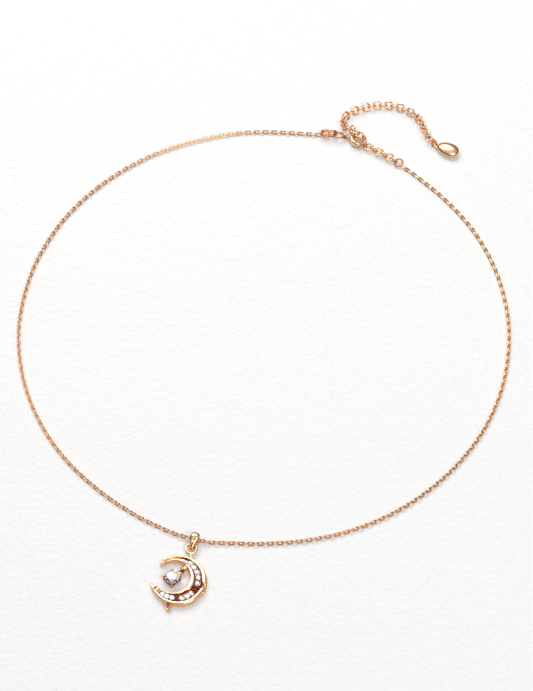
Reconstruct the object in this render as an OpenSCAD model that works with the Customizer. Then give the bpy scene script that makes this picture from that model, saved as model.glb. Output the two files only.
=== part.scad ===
// Crescent moon pendant necklace, laid in a circle on a flat surface.
// Frame: origin at the middle of the whole necklace on the surface, +Z up, pendant towards -Y.

/* [Fine chain] */
// Outer width of one chain link, which is the thickness of the fine chain
chain_w = 1.2; // [0.9:0.05:1.4]
// Number of sides of the chain's outer envelope
chain_sides = 8; // [6:1:10]

/* [Bail] */
// Length of the bail from end to end
bail_len = 4.8; // [4:0.1:5.5]
// Width of the strap where it passes over the chain
bail_w = 2.2; // [1.6:0.1:2.8]
// Width of the strap where it passes through the pendant's loop
bail_foot_w = 1; // [0.7:0.05:1.2]
// Thickness of the strap
bail_t = 0.3; // [0.2:0.05:0.4]
// Room round the chain inside the bail
bail_room = 0.5; // [0.25:0.05:0.6]

/* [Crescent] */
// Outer diameter of the crescent
moon_d = 13.4; // [11:0.1:17]
// Diameter of the open middle of the crescent
moon_open_d = 8.7; // [7:0.1:9]
// How far the open middle sits off the crescent's centre, to the left
moon_off_x = 1.5; // [1:0.1:2]
// How far the open middle sits off the crescent's centre, upwards
moon_off_y = 1; // [0.6:0.1:1.3]
// Height of the polished rims above the surface
rim_h = 1.7; // [1.5:0.05:2.2]
// Width of the polished rims
rim_w = 0.6; // [0.4:0.05:0.8]
// Height of the channel floor that holds the stones
floor_h = 1.1; // [0.8:0.05:1.3]
// Outer diameter of the pendant's loop
loop_d = 3.2; // [2.8:0.1:4]
// Wire thickness of the pendant's loop
loop_wire = 0.6; // [0.4:0.05:0.7]

/* [Stones] */
// Diameter of a small channel stone
pave_d = 1.1; // [0.9:0.05:1.2]
// Diameter of the centre stone
stone_d = 3.6; // [3:0.1:4.5]
// Height of the centre stone's girdle above the surface
stone_z = 2.4; // [2.1:0.05:3]
// Wire thickness of the four claws
claw_d = 0.55; // [0.4:0.05:0.7]

/* [Clasp] */
// Mean radius of the clasp's curved body
claw_r = 1.85; // [1.7:0.05:2.2]
// Thickness of the clasp's thick back, across the curve
clasp_w = 1.2; // [0.9:0.05:1.4]
// Height of the clasp
clasp_h = 2; // [1.6:0.1:2.2]
// Wire thickness of the clasp's hook
hook_wire = 0.7; // [0.5:0.05:0.8]
// Diameter of the rivet that the lever turns on
rivet_d = 0.5; // [0.4:0.05:0.6]
// Working gap round the rivet and beside the lever
lever_gap = 0.06; // [0.04:0.01:0.1]

/* [Extender chain and rings] */
// Distance from link to link
ext_pitch = 1.6; // [1.5:0.01:1.65]
// Outer width of a link
ext_w = 2.45; // [2.3:0.05:2.6]
// Wire thickness of a link
ext_wire = 0.45; // [0.4:0.01:0.5]
// Slack between two links
ext_slack = 0.12; // [0.08:0.01:0.2]
// Outer diameter of the ring that carries the clasp
clasp_ring_d = 3.5; // [3.3:0.1:4]
// Outer diameter of the ring at the chain's left end
end_ring_d = 3.3; // [3:0.1:3.6]
// Outer diameter of the small ring at the chain's right end
side_ring_d = 2.6; // [2.4:0.1:3]
// Wire thickness of the rings
ring_wire = 0.45; // [0.35:0.05:0.5]

/* [Tag] */
// Length of the polished drop at the end
tag_len = 6.2; // [5:0.1:8]
// Width of the polished drop
tag_w = 4.5; // [3.5:0.1:5]
// Height of the polished drop
tag_h = 2.4; // [1.8:0.1:3]

/* [Hidden] */

rose = [0.91, 0.66, 0.47];
rose_dark = [0.80, 0.53, 0.36];
clear = [0.93, 0.93, 0.98];

round_fn = 48;
wire_fn = 24;

// Route of the fine chain's centre line, from the clasp's end, round the front, to the extender's end.
// It lies on the surface and rises a little where the bail holds it up.
chain_route = [
    [15.3, 66.5, 0.6], [8, 67.1, 0.6], [0, 67.5, 0.6], [-8, 67, 0.6], [-16.4, 65.1, 0.6],
    [-24.3, 62.4, 0.6], [-31.8, 58.7, 0.6], [-40.8, 52.3, 0.6], [-48.6, 44.5, 0.6],
    [-55, 35.5, 0.6], [-60.5, 23.1, 0.6], [-63.2, 9.9, 0.6], [-63.3, -1.8, 0.6],
    [-61, -14, 0.6], [-56.3, -25.7, 0.6], [-49.5, -36.1, 0.6], [-40.8, -45, 0.6],
    [-32, -51.6, 0.6], [-26, -55, 0.6], [-21.4, -57.3, 0.8], [-17.3, -58.7, 1.2],
    [-13.4, -59.5, 0.8], [-8.5, -59.6, 0.6], [0, -59.8, 0.6], [11, -58.8, 0.6],
    [21.7, -56, 0.6], [31.8, -51.3, 0.6], [40.8, -44.9, 0.6], [48.6, -37.1, 0.6],
    [55, -28.1, 0.6], [59.7, -18, 0.6], [62.5, -7.3, 0.6], [63.5, 3.7, 0.6],
    [62.5, 14.7, 0.6], [59.7, 25.4, 0.6], [55, 35.5, 0.6], [48.6, 44.5, 0.6],
    [42, 51.5, 0.6], [37.4, 55.8, 0.6]
];

// Route of the extender's free tail: out of the hooked link, over the clasp and round to the tag.
tail_route = [
    [27.25, 62.95, 1.8], [26.7, 63.5, 3.1], [25.8, 64.4, 3.5], [24.7, 65.6, 3.4], [23.5, 66.9, 2.7],
    [22.2, 68.4, 1.6], [21.5, 70.1, 0.97], [21.9, 72, 0.95], [23.5, 73.8, 0.95], [25.9, 75, 0.95],
    [28.6, 76, 0.95], [31.4, 76.5, 0.95], [34.2, 76.4, 0.95], [36.9, 75.8, 0.95],
    [39.3, 74.6, 1], [41.4, 72.9, 1.05], [42.8, 70.8, 1.12], [43.6, 68.4, 1.18],
    [44.4, 66.1, 1.2], [45.3, 64.3, 1.2], [46.5, 62.9, 1.2]
];

// ---- Curves -------------------------------------------------------------------------------------

// Point on a smooth curve through b and c, at t from 0 to 1, with its neighbours a and d
function smooth(a, b, c, d, t) =
    0.5 * (2 * b + (c - a) * t + (2 * a - 5 * b + 4 * c - d) * t * t + (3 * b - a - 3 * c + d) * t * t * t);
// The point before the first and after the last carry the line straight on
function before(r, i) = i > 0 ? r[i - 1] : 2 * r[0] - r[1];
function after(r, i) = i + 2 < len(r) ? r[i + 2] : 2 * r[i + 1] - r[i];
function curve(r, steps) = concat(
    [for (i = [0 : len(r) - 2], k = [0 : steps - 1]) smooth(before(r, i), r[i], r[i + 1], after(r, i), k / steps)],
    [r[len(r) - 1]]
);
function unit(v) = v / norm(v);
// Running length along the points of a curve
function lengths(p, i = 0, s = 0) =
    i >= len(p) ? [] : let (here = i == 0 ? 0 : s + norm(p[i] - p[i - 1])) concat([here], lengths(p, i + 1, here));
// Point at a distance along a curve, from its points and their running lengths
function span_at(l, d, i = 0) = i + 2 >= len(l) || l[i + 1] >= d ? i : span_at(l, d, i + 1);
function at(p, l, d) = let (i = span_at(l, d)) p[i] + (p[i + 1] - p[i]) * (d - l[i]) / (l[i + 1] - l[i]);

// ---- Shared shapes ------------------------------------------------------------------------------

// Closed ring of round wire in the XY plane, about its own centre
module wire_ring(outer_d, wire) {
    rotate_extrude($fn = round_fn)
        translate([(outer_d - wire) / 2, 0])
            circle(d = wire, $fn = wire_fn);
}

// Half ring that opens towards -X
module half_ring(outer_d, wire) {
    rotate([0, 0, -90])
        rotate_extrude(angle = 180, $fn = round_fn)
            translate([(outer_d - wire) / 2, 0])
                circle(d = wire, $fn = wire_fn);
}

// Oval chain link along X in the XY plane, about its own centre
module oval_link(length, width, wire) {
    // A whole number of hundredths, so that the bends and the straights meet exactly
    straight = round(100 * (length - width)) / 100;
    for (side = [0, 180])
        rotate([0, 0, side])
            translate([straight / 2, 0, 0])
                half_ring(width, wire);
    for (side = [-1, 1])
        translate([-straight / 2, side * (width - wire) / 2, 0])
            rotate([0, 90, 0])
                cylinder(h = straight, d = wire, $fn = wire_fn);
}

// Places children that lie along X so that they run from point a to point b, rolled about that line
module between(a, b, roll) {
    d = b - a;
    translate((a + b) / 2)
        rotate([0, -asin(d[2] / norm(d)), atan2(d[1], d[0])])
            rotate([roll, 0, 0])
                children();
}

// ---- Fine chain ---------------------------------------------------------------------------------

chain_rings = 2;
chain_points = curve(chain_route, chain_rings);

function ring_at(p, i) =
    let (
        ahead = unit(p[min(i + 1, len(p) - 1)] - p[max(i - 1, 0)]),
        side = unit(cross([0, 0, 1], ahead)),
        up = cross(ahead, side)
    )
    [for (k = [0 : chain_sides - 1])
        let (turn = (k + 0.5) * 360 / chain_sides)
        p[i] + chain_w / 2 * (cos(turn) * side + sin(turn) * up)];

// The outer shape of the fine cable chain; its links are finer than a solid of this kind needs
module chain() {
    n = len(chain_points);
    s = chain_sides;
    color(rose)
        polyhedron(
            points = [for (i = [0 : n - 1]) each ring_at(chain_points, i)],
            faces = concat(
                [[for (k = [0 : s - 1]) k]],
                [for (i = [0 : n - 2], k = [0 : s - 1])
                    [i * s + k, (i + 1) * s + k, (i + 1) * s + (k + 1) % s, i * s + (k + 1) % s]],
                [[for (k = [s - 1 : -1 : 0]) (n - 1) * s + k]]
            )
        );
}

// ---- Bail ---------------------------------------------------------------------------------------

bail_turn = -10; // direction of the bail's width, seen from above
bail_top_r = chain_w / 2 + bail_room + bail_t;
bail_foot_r = 0.4 + bail_t;
bail_at = [-17.3, -58.7, bail_top_r];
// From the chain's axis to the centre of the bail's foot
bail_reach = bail_len - bail_top_r - bail_foot_r;

// The strap's side view: a drop-shaped loop, wide round the chain and narrow at the foot
module bail_drop(shrink) {
    hull() {
        circle(r = bail_top_r - shrink, $fn = round_fn);
        translate([-bail_reach, 0])
            circle(r = bail_foot_r - shrink, $fn = round_fn);
    }
}

module bail_outline() {
    hull() {
        translate([-bail_w / 2, -bail_top_r * 0.6])
            square([bail_w, bail_top_r * 1.6]);
        translate([-bail_foot_w / 2, -bail_reach - bail_foot_r])
            square([bail_foot_w, 0.5]);
    }
}

module bail() {
    color(rose)
        translate(bail_at)
            rotate([0, 0, bail_turn])
                intersection() {
                    rotate([90, 0, 90])
                        linear_extrude(height = 2 * bail_w, center = true)
                            difference() {
                                bail_drop(0);
                                bail_drop(bail_t);
                            }
                    linear_extrude(height = 4 * bail_top_r, center = true)
                        bail_outline();
                }
}

// ---- Crescent -----------------------------------------------------------------------------------

// The loop's centre lies on the bail's line, with its wire inside the bail's foot
loop_inset = 0.5;
loop_z = 1.1;
loop_reach = bail_reach + bail_foot_r - loop_inset;
loop_turn = bail_turn;
loop_at = [
    bail_at[0] + sin(loop_turn) * loop_reach,
    bail_at[1] - cos(loop_turn) * loop_reach,
    loop_z
];
// Centre of the crescent, below and a little to the left of the loop
moon_lean = 18;
moon_gap = 1;
moon_reach = loop_d / 2 + moon_gap + moon_d / 2;
moon_at = [loop_at[0] - sin(moon_lean) * moon_reach, loop_at[1] - cos(moon_lean) * moon_reach, 0];
open_at = [-moon_off_x, moon_off_y];
open_r = moon_open_d / 2;
moon_r = moon_d / 2;

// The neck runs straight down from the loop into the crescent's outer rim
neck_w = 0.7;
neck_head = loop_at[1] - loop_d / 2 + loop_wire / 2;
neck_foot = moon_at[1] + sqrt(moon_r * moon_r - pow(loop_at[0] - moon_at[0], 2)) - 0.4;

// The moon's mouth: everything between its two horns
module moon_mouth() {
    polygon([
        [open_at[0], open_at[1]],
        [-moon_r * 0.60, moon_r * 0.70],
        [-moon_r * 0.95, moon_r * 0.75],
        [-moon_r * 1.4, 0],
        [-moon_r * 1.06, -moon_r * 0.10],
        [-moon_r * 0.84, -moon_r * 0.17]
    ]);
}

module moon_shape(inset) {
    difference() {
        circle(r = moon_r - inset, $fn = 96);
        translate(open_at)
            circle(r = open_r + inset, $fn = 96);
        moon_mouth();
    }
}

// Where the channel ends near each horn
module channel_span() {
    difference() {
        moon_shape(rim_w);
        translate([-2 * moon_r, moon_r * 0.1])
            square([2.1 * moon_r, 2 * moon_r]);
        translate([-2 * moon_r, -moon_r * 0.62])
            square([moon_r * 1.3, 2 * moon_r]);
    }
}

module tail_prongs() {
    for (prong = [[-2.2, -0.55], [-2.9, 0.45]])
        translate([prong[0], -moon_r + 0.45, 0])
            linear_extrude(height = floor_h)
                polygon([[-0.45, 0.4], [0.45, 0.4], [0.2 + prong[1] * 0.1, -1.7], [-0.2, -1.6]]);
}

module crescent() {
    color(rose) {
        translate(moon_at) {
            difference() {
                linear_extrude(height = rim_h)
                    moon_shape(0);
                translate([0, 0, floor_h])
                    linear_extrude(height = rim_h)
                        channel_span();
                for (s = stones)
                    translate([s[0], s[1], stone_seat_z])
                        cylinder(h = rim_h, d = pave_d + 2 * stone_room, $fn = wire_fn);
            }
            tail_prongs();
        }
        translate(loop_at)
            wire_ring(loop_d, loop_wire);
        translate([loop_at[0] - neck_w / 2, neck_foot, loop_at[2] - loop_wire / 2])
            cube([neck_w, neck_head - neck_foot, loop_wire]);
    }
}

// ---- Small stones -------------------------------------------------------------------------------

stone_room = 0.02;
stone_seat_z = 0.7;
// Centres of the stones along the channel: angle from the crescent's centre and distance out
right_angles = [58, 42, 27, 12, -5];
lower_angles = [-48, -62, -77];
left_angles = [-108, -124, -138];
function channel_r(a) =
    let (
        dir = [cos(a), sin(a)],
        along = open_at * dir,
        inner = along + sqrt(along * along - open_at * open_at + open_r * open_r)
    )
    (inner + moon_r) / 2;
function stone_centre(a) = channel_r(a) * [cos(a), sin(a)];
right_stones = [for (a = right_angles) stone_centre(a)];
lower_stones = [for (a = lower_angles) stone_centre(a)];
left_stones = [for (a = left_angles) stone_centre(a)];
stones = concat(right_stones, lower_stones, left_stones);

// Round brilliant: a pointed pavilion, a thin girdle and a flat-topped crown
module brilliant(d) {
    translate([0, 0, -0.43 * d])
        cylinder(h = 0.43 * d, d1 = 0.02 * d, d2 = d, $fn = wire_fn);
    cylinder(h = 0.03 * d, d = d, $fn = wire_fn);
    translate([0, 0, 0.03 * d])
        cylinder(h = 0.15 * d, d1 = d, d2 = 0.57 * d, $fn = wire_fn);
}

module stone_row(centres) {
    color(clear)
        for (c = centres)
            translate([moon_at[0] + c[0], moon_at[1] + c[1], stone_seat_z + 0.43 * pave_d + stone_room])
                brilliant(pave_d);
}

module stones_right() { stone_row(right_stones); }
module stones_lower() { stone_row(lower_stones); }
module stones_left() { stone_row(left_stones); }

// ---- Centre stone and its setting ---------------------------------------------------------------

stone_shift = [-0.1, -0.5];
stone_at = [moon_at[0] + open_at[0] + stone_shift[0], moon_at[1] + open_at[1] + stone_shift[1], 0];
gallery_z = 0.5;
gallery_h = 0.45;
gallery_wall = 0.5;
// Outer corner of the square gallery, from the stone's axis
gallery_corner = stone_d / 2 + 0.2;
claw_spread = stone_d / 2 + claw_d / 2 + stone_room;
claw_top = stone_z + 0.55;
// Direction of the bar that joins the setting to the crescent
bar_turn = 45;
bar_w = 0.7;

module square_plate(corner, h) {
    side = corner * sqrt(2);
    rotate([0, 0, 45])
        translate([-side / 2, -side / 2, 0])
            cube([side, side, h]);
}

// Square gallery with four upright claws, one over each corner
module setting() {
    color(rose_dark)
        translate(stone_at) {
            difference() {
                translate([0, 0, gallery_z])
                    square_plate(gallery_corner, gallery_h);
                square_plate(gallery_corner - gallery_wall * sqrt(2), 3);
            }
            for (turn = [0 : 90 : 270])
                rotate([0, 0, turn])
                    translate([claw_spread, 0, gallery_z]) {
                        cylinder(h = claw_top - gallery_z, d = claw_d, $fn = wire_fn);
                        translate([0, 0, claw_top - gallery_z])
                            sphere(d = claw_d, $fn = wire_fn);
                    }
        }
}

// Bar between the gallery's flat side and the inside of the crescent
module setting_bar() {
    start = gallery_corner / sqrt(2);
    color(rose_dark)
        intersection() {
            translate([stone_at[0], stone_at[1], gallery_z])
                rotate([0, 0, bar_turn])
                    translate([start, -bar_w / 2, 0])
                        cube([open_r, bar_w, gallery_h + 0.3]);
            translate([moon_at[0] + open_at[0], moon_at[1] + open_at[1], 0])
                cylinder(h = rim_h, r = open_r, $fn = 96);
        }
}

module centre_stone() {
    color(clear)
        translate([stone_at[0], stone_at[1], stone_z])
            brilliant(stone_d);
}

// ---- Clasp --------------------------------------------------------------------------------------

// The clasp lies flat. Its own frame starts at the eye's centre, with +X towards the hook.
clasp_at = [22, 65.7, 0];
clasp_turn = -16;
clasp_z = clasp_h / 2;
eye_d = 1.9;
eye_wire = 0.5;
claw_at = [claw_r + clasp_w / 2 + eye_d / 2 + 0.5, -0.1];
back_from = 140;
back_to = 305;
hook_to = 420;
hook_root = 15;
// The rivet goes through the lever's root, which stands in a slot in the clasp's back
rivet_at = [claw_at[0] - claw_r * 0.9, claw_at[1] + claw_r * 0.42];
lever_h = 0.8;
lever_w = 0.45;
lever_root_d = 1;
lever_tip = claw_at[0] + 1.02;
spring_d = 0.5;
spring_len = 0.8;
spring_at = [rivet_at[0] - 0.1, rivet_at[1] - 0.95];
spring_turns = 4;

module in_clasp() {
    translate(clasp_at)
        rotate([0, 0, clasp_turn])
            children();
}

// Part of a curved bar about the claw's centre: from one angle to another
module claw_arc(from, to) {
    translate([claw_at[0], claw_at[1], clasp_z])
        rotate([0, 0, from])
            rotate_extrude(angle = to - from, $fn = 96)
                translate([claw_r, 0])
                    children();
}

module rounded_section(w, h) {
    intersection() {
        square([w, h], center = true);
        circle(d = norm([w, h]) * 0.86, $fn = wire_fn);
    }
}

module clasp_body() {
    color(rose)
        in_clasp()
            difference() {
                union() {
                    translate([0, 0, clasp_z])
                        rotate([90, 0, 0])
                            wire_ring(eye_d, eye_wire);
                    translate([eye_d / 2 - eye_wire / 2, -0.4, clasp_z - 0.5])
                        cube([claw_at[0] - claw_r - eye_d / 2 + eye_wire / 2, 0.9, 1]);
                    claw_arc(back_from, back_to)
                        rounded_section(clasp_w, clasp_h);
                    claw_arc(back_to - hook_root, hook_to)
                        circle(d = hook_wire, $fn = wire_fn);
                }
                // Slot for the lever's root and its swing
                translate([rivet_at[0], rivet_at[1], clasp_z - lever_h / 2 - lever_gap])
                    cylinder(h = lever_h + 2 * lever_gap, d = lever_root_d + 2 * lever_gap, $fn = 32);
                translate([rivet_at[0], rivet_at[1], clasp_z - lever_h / 2 - lever_gap])
                    rotate([0, 0, -24])
                        translate([0, -lever_w / 2 - 0.1, 0])
                            cube([3, lever_w + 1.4, lever_h + 2 * lever_gap]);
                // Bore for the rivet
                translate([rivet_at[0], rivet_at[1], -1])
                    cylinder(h = clasp_h + 2, d = rivet_d, $fn = wire_fn);
                // Pocket for the spring
                translate([spring_at[0], spring_at[1], clasp_z])
                    rotate([-90, 0, 0])
                        translate([0, 0, -0.1])
                            cylinder(h = spring_len + 0.4, d = spring_d + 0.1, $fn = wire_fn);
            }
}

module clasp_rivet() {
    color(rose_dark)
        in_clasp()
            translate([rivet_at[0], rivet_at[1], 0.15])
                cylinder(h = clasp_h - 0.3, d = rivet_d, $fn = wire_fn);
}

// Lever: a round root on the rivet, a straight tongue under the hook's tip and a thumb knob
module clasp_lever() {
    color(rose)
        in_clasp()
            difference() {
                union() {
                    translate([rivet_at[0], rivet_at[1], clasp_z - lever_h / 2])
                        cylinder(h = lever_h, d = lever_root_d, $fn = 32);
                    translate([rivet_at[0], rivet_at[1] - lever_w / 2, clasp_z - lever_h / 2])
                        cube([lever_tip - rivet_at[0], lever_w, lever_h]);
                    translate([rivet_at[0] + 1, rivet_at[1] + 0.35, clasp_z - lever_h / 2])
                        cylinder(h = lever_h, d = 0.8, $fn = wire_fn);
                }
                translate([rivet_at[0], rivet_at[1], -1])
                    cylinder(h = clasp_h + 2, d = rivet_d + 2 * lever_gap, $fn = wire_fn);
            }
}

// Small coil spring that pushes the lever shut, in its pocket below the lever's root
module clasp_spring() {
    wire = 0.14;
    color("silver")
        in_clasp()
            translate([spring_at[0], spring_at[1], clasp_z])
                rotate([-90, 0, 0])
                    for (k = [0 : spring_turns - 1])
                        translate([0, 0, k * wire * 0.9])
                            rotate_extrude($fn = round_fn)
                                translate([spring_d / 2 - wire / 2, 0])
                                    circle(d = wire, $fn = wire_fn);
}

// ---- Rings at the clasp and at the chain's end --------------------------------------------------

ring_reach = (clasp_ring_d - ring_wire) / 2;
clasp_ring_at = [
    clasp_at[0] - ring_reach * cos(clasp_turn),
    clasp_at[1] - ring_reach * sin(clasp_turn),
    clasp_z
];

clasp_ring_tilt = 25;

module clasp_ring() {
    color(rose)
        translate(clasp_ring_at)
            rotate([0, 0, clasp_turn])
                rotate([-clasp_ring_tilt, 0, 0])
                    wire_ring(clasp_ring_d, ring_wire);
}

// Oval end ring, from the fine chain's first link to the clasp's ring
end_ring_roll = 100;
ring_play = 0.25;
end_ring_w = end_ring_d - 0.5;
end_ring_z = (end_ring_w - ring_wire) / 2 * sin(end_ring_roll) + ring_wire / 2 + 0.02;

end_ring_near = [chain_route[0][0] + ring_wire / 2 + 0.03, chain_route[0][1]];
end_ring_far = [clasp_ring_at[0], clasp_ring_at[1]]
    - (ring_reach - ring_wire - ring_play) * [cos(clasp_turn), sin(clasp_turn)];
end_ring_len = norm(end_ring_far - end_ring_near) + ring_wire;

module end_ring() {
    middle = (end_ring_near + end_ring_far) / 2;
    way = end_ring_far - end_ring_near;
    color(rose_dark)
        translate([middle[0], middle[1], end_ring_z])
            rotate([end_ring_roll, 0, atan2(way[1], way[0])])
                oval_link(end_ring_len, end_ring_w, ring_wire);
}

// ---- Extender -----------------------------------------------------------------------------------

ext_len = ext_pitch + 2 * ext_wire + ext_slack;
hooked_turn = clasp_turn - 30;
// Centre of the hook's wire where the hooked link hangs, then the link's own centre
hooked_dir = [cos(hooked_turn), sin(hooked_turn), 0];
claw_centre = [
    clasp_at[0] + claw_at[0] * cos(clasp_turn) - claw_at[1] * sin(clasp_turn),
    clasp_at[1] + claw_at[0] * sin(clasp_turn) + claw_at[1] * cos(clasp_turn),
    0
];
hooked_at = claw_centre + (claw_r + 0.38) * hooked_dir + [0, 0, ext_w / 2];

module ext_link(a, b, roll) {
    between(a, b, roll)
        oval_link(ext_len, ext_w, ext_wire);
}

module hooked_link() {
    color(rose)
        ext_link(hooked_at - hooked_dir, hooked_at + hooked_dir, 90);
}

chain_end = chain_route[len(chain_route) - 1];
chain_end_dir = unit(chain_route[len(chain_route) - 1] - chain_route[len(chain_route) - 2]);
side_ring_turn = 40;
side_ring_tilt = 25;
side_ring_z = 0.95;
side_ring_at = [
    chain_end[0] + chain_end_dir[0] * (side_ring_d / 2 + 0.02),
    chain_end[1] + chain_end_dir[1] * (side_ring_d / 2 + 0.02),
    side_ring_z
];

module side_ring() {
    color(rose)
        translate(side_ring_at)
            rotate([0, 0, -side_ring_turn])
                rotate([side_ring_tilt, 0, 0])
                    wire_ring(side_ring_d, ring_wire);
}

// Links from the hooked link to the chain's end
side_from = [
    hooked_at[0] + hooked_dir[0] * 0.83,
    hooked_at[1] + hooked_dir[1] * 0.83,
    1.1
];
side_way = unit([side_ring_at[0] - side_from[0], side_ring_at[1] - side_from[1], 0]);
side_to = side_ring_at - side_way * ((side_ring_d - ring_wire) / 2 - ring_wire / 2 - ext_wire / 2 + 0.1);
side_count = max(2, round(norm(side_to - side_from) / ext_pitch));
side_rolls = [20, -70, 20, -70, 20, -65, 20, -65];
// A link that stands on its edge needs more height than one that lies flat
side_heights = [1.1, 1.2, 1.2, 1.2, 1.2, 1.18, 1.12, 1.12, 1.12];

function side_point(k) =
    let (share = k / side_count, p = side_from + (side_to - side_from) * share)
    [p[0], p[1], side_heights[min(k, len(side_heights) - 1)]];

module side_links() {
    color(rose)
        for (k = [0 : side_count - 1])
            ext_link(side_point(k), side_point(k + 1), side_rolls[min(k, len(side_rolls) - 1)]);
}

tail_steps = 8;
tail_points = curve(tail_route, tail_steps);
tail_lengths = lengths(tail_points);
tail_count = floor(tail_lengths[len(tail_lengths) - 1] / ext_pitch);
tail_groups = 8;
function tail_first(g) = round(g * tail_count / tail_groups);
function tail_point(k) = at(tail_points, tail_lengths, k * ext_pitch);
// The first links turn on their sides as they climb over the clasp, and the rest lie rolled half over
first_rolls = [20, -65, 35, -50];
// Towards the tag the links turn until they stand and lie by turns
late_links = 8;
late_turn = 4;
function tail_roll(k) =
    k < len(first_rolls) ? first_rolls[k]
    : (k % 2 == 0 ? 45 : -45) + late_turn * max(0, k + late_links + 1 - tail_count);

module tail_links(g) {
    color(rose)
        for (k = [tail_first(g) : tail_first(g + 1) - 1])
            ext_link(tail_point(k), tail_point(k + 1), tail_roll(k));
}

module tail_links_1() { tail_links(0); }
module tail_links_2() { tail_links(1); }
module tail_links_3() { tail_links(2); }
module tail_links_4() { tail_links(3); }
module tail_links_5() { tail_links(4); }
module tail_links_6() { tail_links(5); }
module tail_links_7() { tail_links(6); }
module tail_links_8() { tail_links(7); }

// ---- Tag ----------------------------------------------------------------------------------------

tail_end = tail_point(tail_count);
tag_turn = -25;
tag_ring_d = 2.4;
tag_ring_roll = 75;
tag_ring_turn = -50;
tag_ring_dir = [cos(tag_ring_turn), sin(tag_ring_turn), 0];
tag_ring_z = (tag_ring_d - ring_wire) / 2 * sin(tag_ring_roll) + ring_wire / 2 + 0.02;
tag_ring_at = [
    tail_end[0] + tag_ring_dir[0] * ((tag_ring_d - ring_wire) / 2 - ext_wire / 2 - 0.06),
    tail_end[1] + tag_ring_dir[1] * ((tag_ring_d - ring_wire) / 2 - ext_wire / 2 - 0.06),
    tag_ring_z
];
tag_eye_d = 1.5;
tag_eye_wire = 0.4;
tag_eye_at = tag_ring_at + tag_ring_dir * ((tag_ring_d - ring_wire) / 2 - ring_wire / 2 - tag_eye_wire / 2 + 0.35);

module tag_ring() {
    color(rose_dark)
        translate(tag_ring_at)
            rotate([0, 0, tag_ring_turn])
                rotate([tag_ring_roll, 0, 0])
                    wire_ring(tag_ring_d, ring_wire);
}

// Polished hollow-looking drop: one domed solid, with a small eye at its narrow end
module tag() {
    color(rose)
        translate([tag_eye_at[0], tag_eye_at[1], 0])
            rotate([0, 0, tag_turn]) {
                translate([0, 0, tag_h / 2])
                    wire_ring(tag_eye_d, tag_eye_wire);
                translate([tag_eye_d / 2 - tag_eye_wire + tag_len / 2, 0, tag_h / 2])
                    resize([tag_len, tag_w, tag_h])
                        sphere(d = tag_len, $fn = 40);
            }
}

chain();
bail();
crescent();
stones_right();
stones_lower();
stones_left();
setting();
setting_bar();
centre_stone();
end_ring();
clasp_ring();
clasp_body();
clasp_lever();
clasp_rivet();
clasp_spring();
side_ring();
side_links();
hooked_link();
tail_links_1();
tail_links_2();
tail_links_3();
tail_links_4();
tail_links_5();
tail_links_6();
tail_links_7();
tail_links_8();
tag_ring();
tag();
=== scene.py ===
"""Looks of the crescent pendant necklace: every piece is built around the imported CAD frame.

All sizes in the classes are millimetres; meshes are made in metres, in the frame of the CAD part.
"""

import logging
import math
from dataclasses import dataclass, field
from enum import Enum
from typing import Callable, Iterable, Sequence

import bpy
import numpy as np
from mathutils import Matrix, Vector


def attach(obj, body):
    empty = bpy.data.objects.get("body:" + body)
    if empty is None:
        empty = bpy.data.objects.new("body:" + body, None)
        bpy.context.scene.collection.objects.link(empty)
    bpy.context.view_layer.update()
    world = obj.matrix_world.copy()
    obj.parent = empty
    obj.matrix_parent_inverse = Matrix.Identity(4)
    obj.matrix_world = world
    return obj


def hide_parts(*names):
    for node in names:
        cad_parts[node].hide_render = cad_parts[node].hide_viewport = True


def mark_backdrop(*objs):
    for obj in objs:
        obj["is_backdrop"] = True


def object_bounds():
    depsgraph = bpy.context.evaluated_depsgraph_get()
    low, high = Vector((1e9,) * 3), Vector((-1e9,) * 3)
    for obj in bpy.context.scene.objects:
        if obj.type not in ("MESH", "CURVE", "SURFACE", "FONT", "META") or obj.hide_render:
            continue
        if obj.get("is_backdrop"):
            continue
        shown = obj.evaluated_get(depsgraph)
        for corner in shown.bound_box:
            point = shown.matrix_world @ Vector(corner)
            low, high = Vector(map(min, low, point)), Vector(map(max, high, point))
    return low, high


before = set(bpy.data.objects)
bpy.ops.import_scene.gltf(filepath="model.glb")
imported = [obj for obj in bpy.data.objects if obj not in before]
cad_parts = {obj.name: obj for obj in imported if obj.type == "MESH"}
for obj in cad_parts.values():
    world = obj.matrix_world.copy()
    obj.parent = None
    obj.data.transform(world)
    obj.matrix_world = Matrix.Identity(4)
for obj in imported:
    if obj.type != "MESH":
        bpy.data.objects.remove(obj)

LOG = logging.getLogger("necklace")
MM = 0.001
CAD_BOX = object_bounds()

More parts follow.
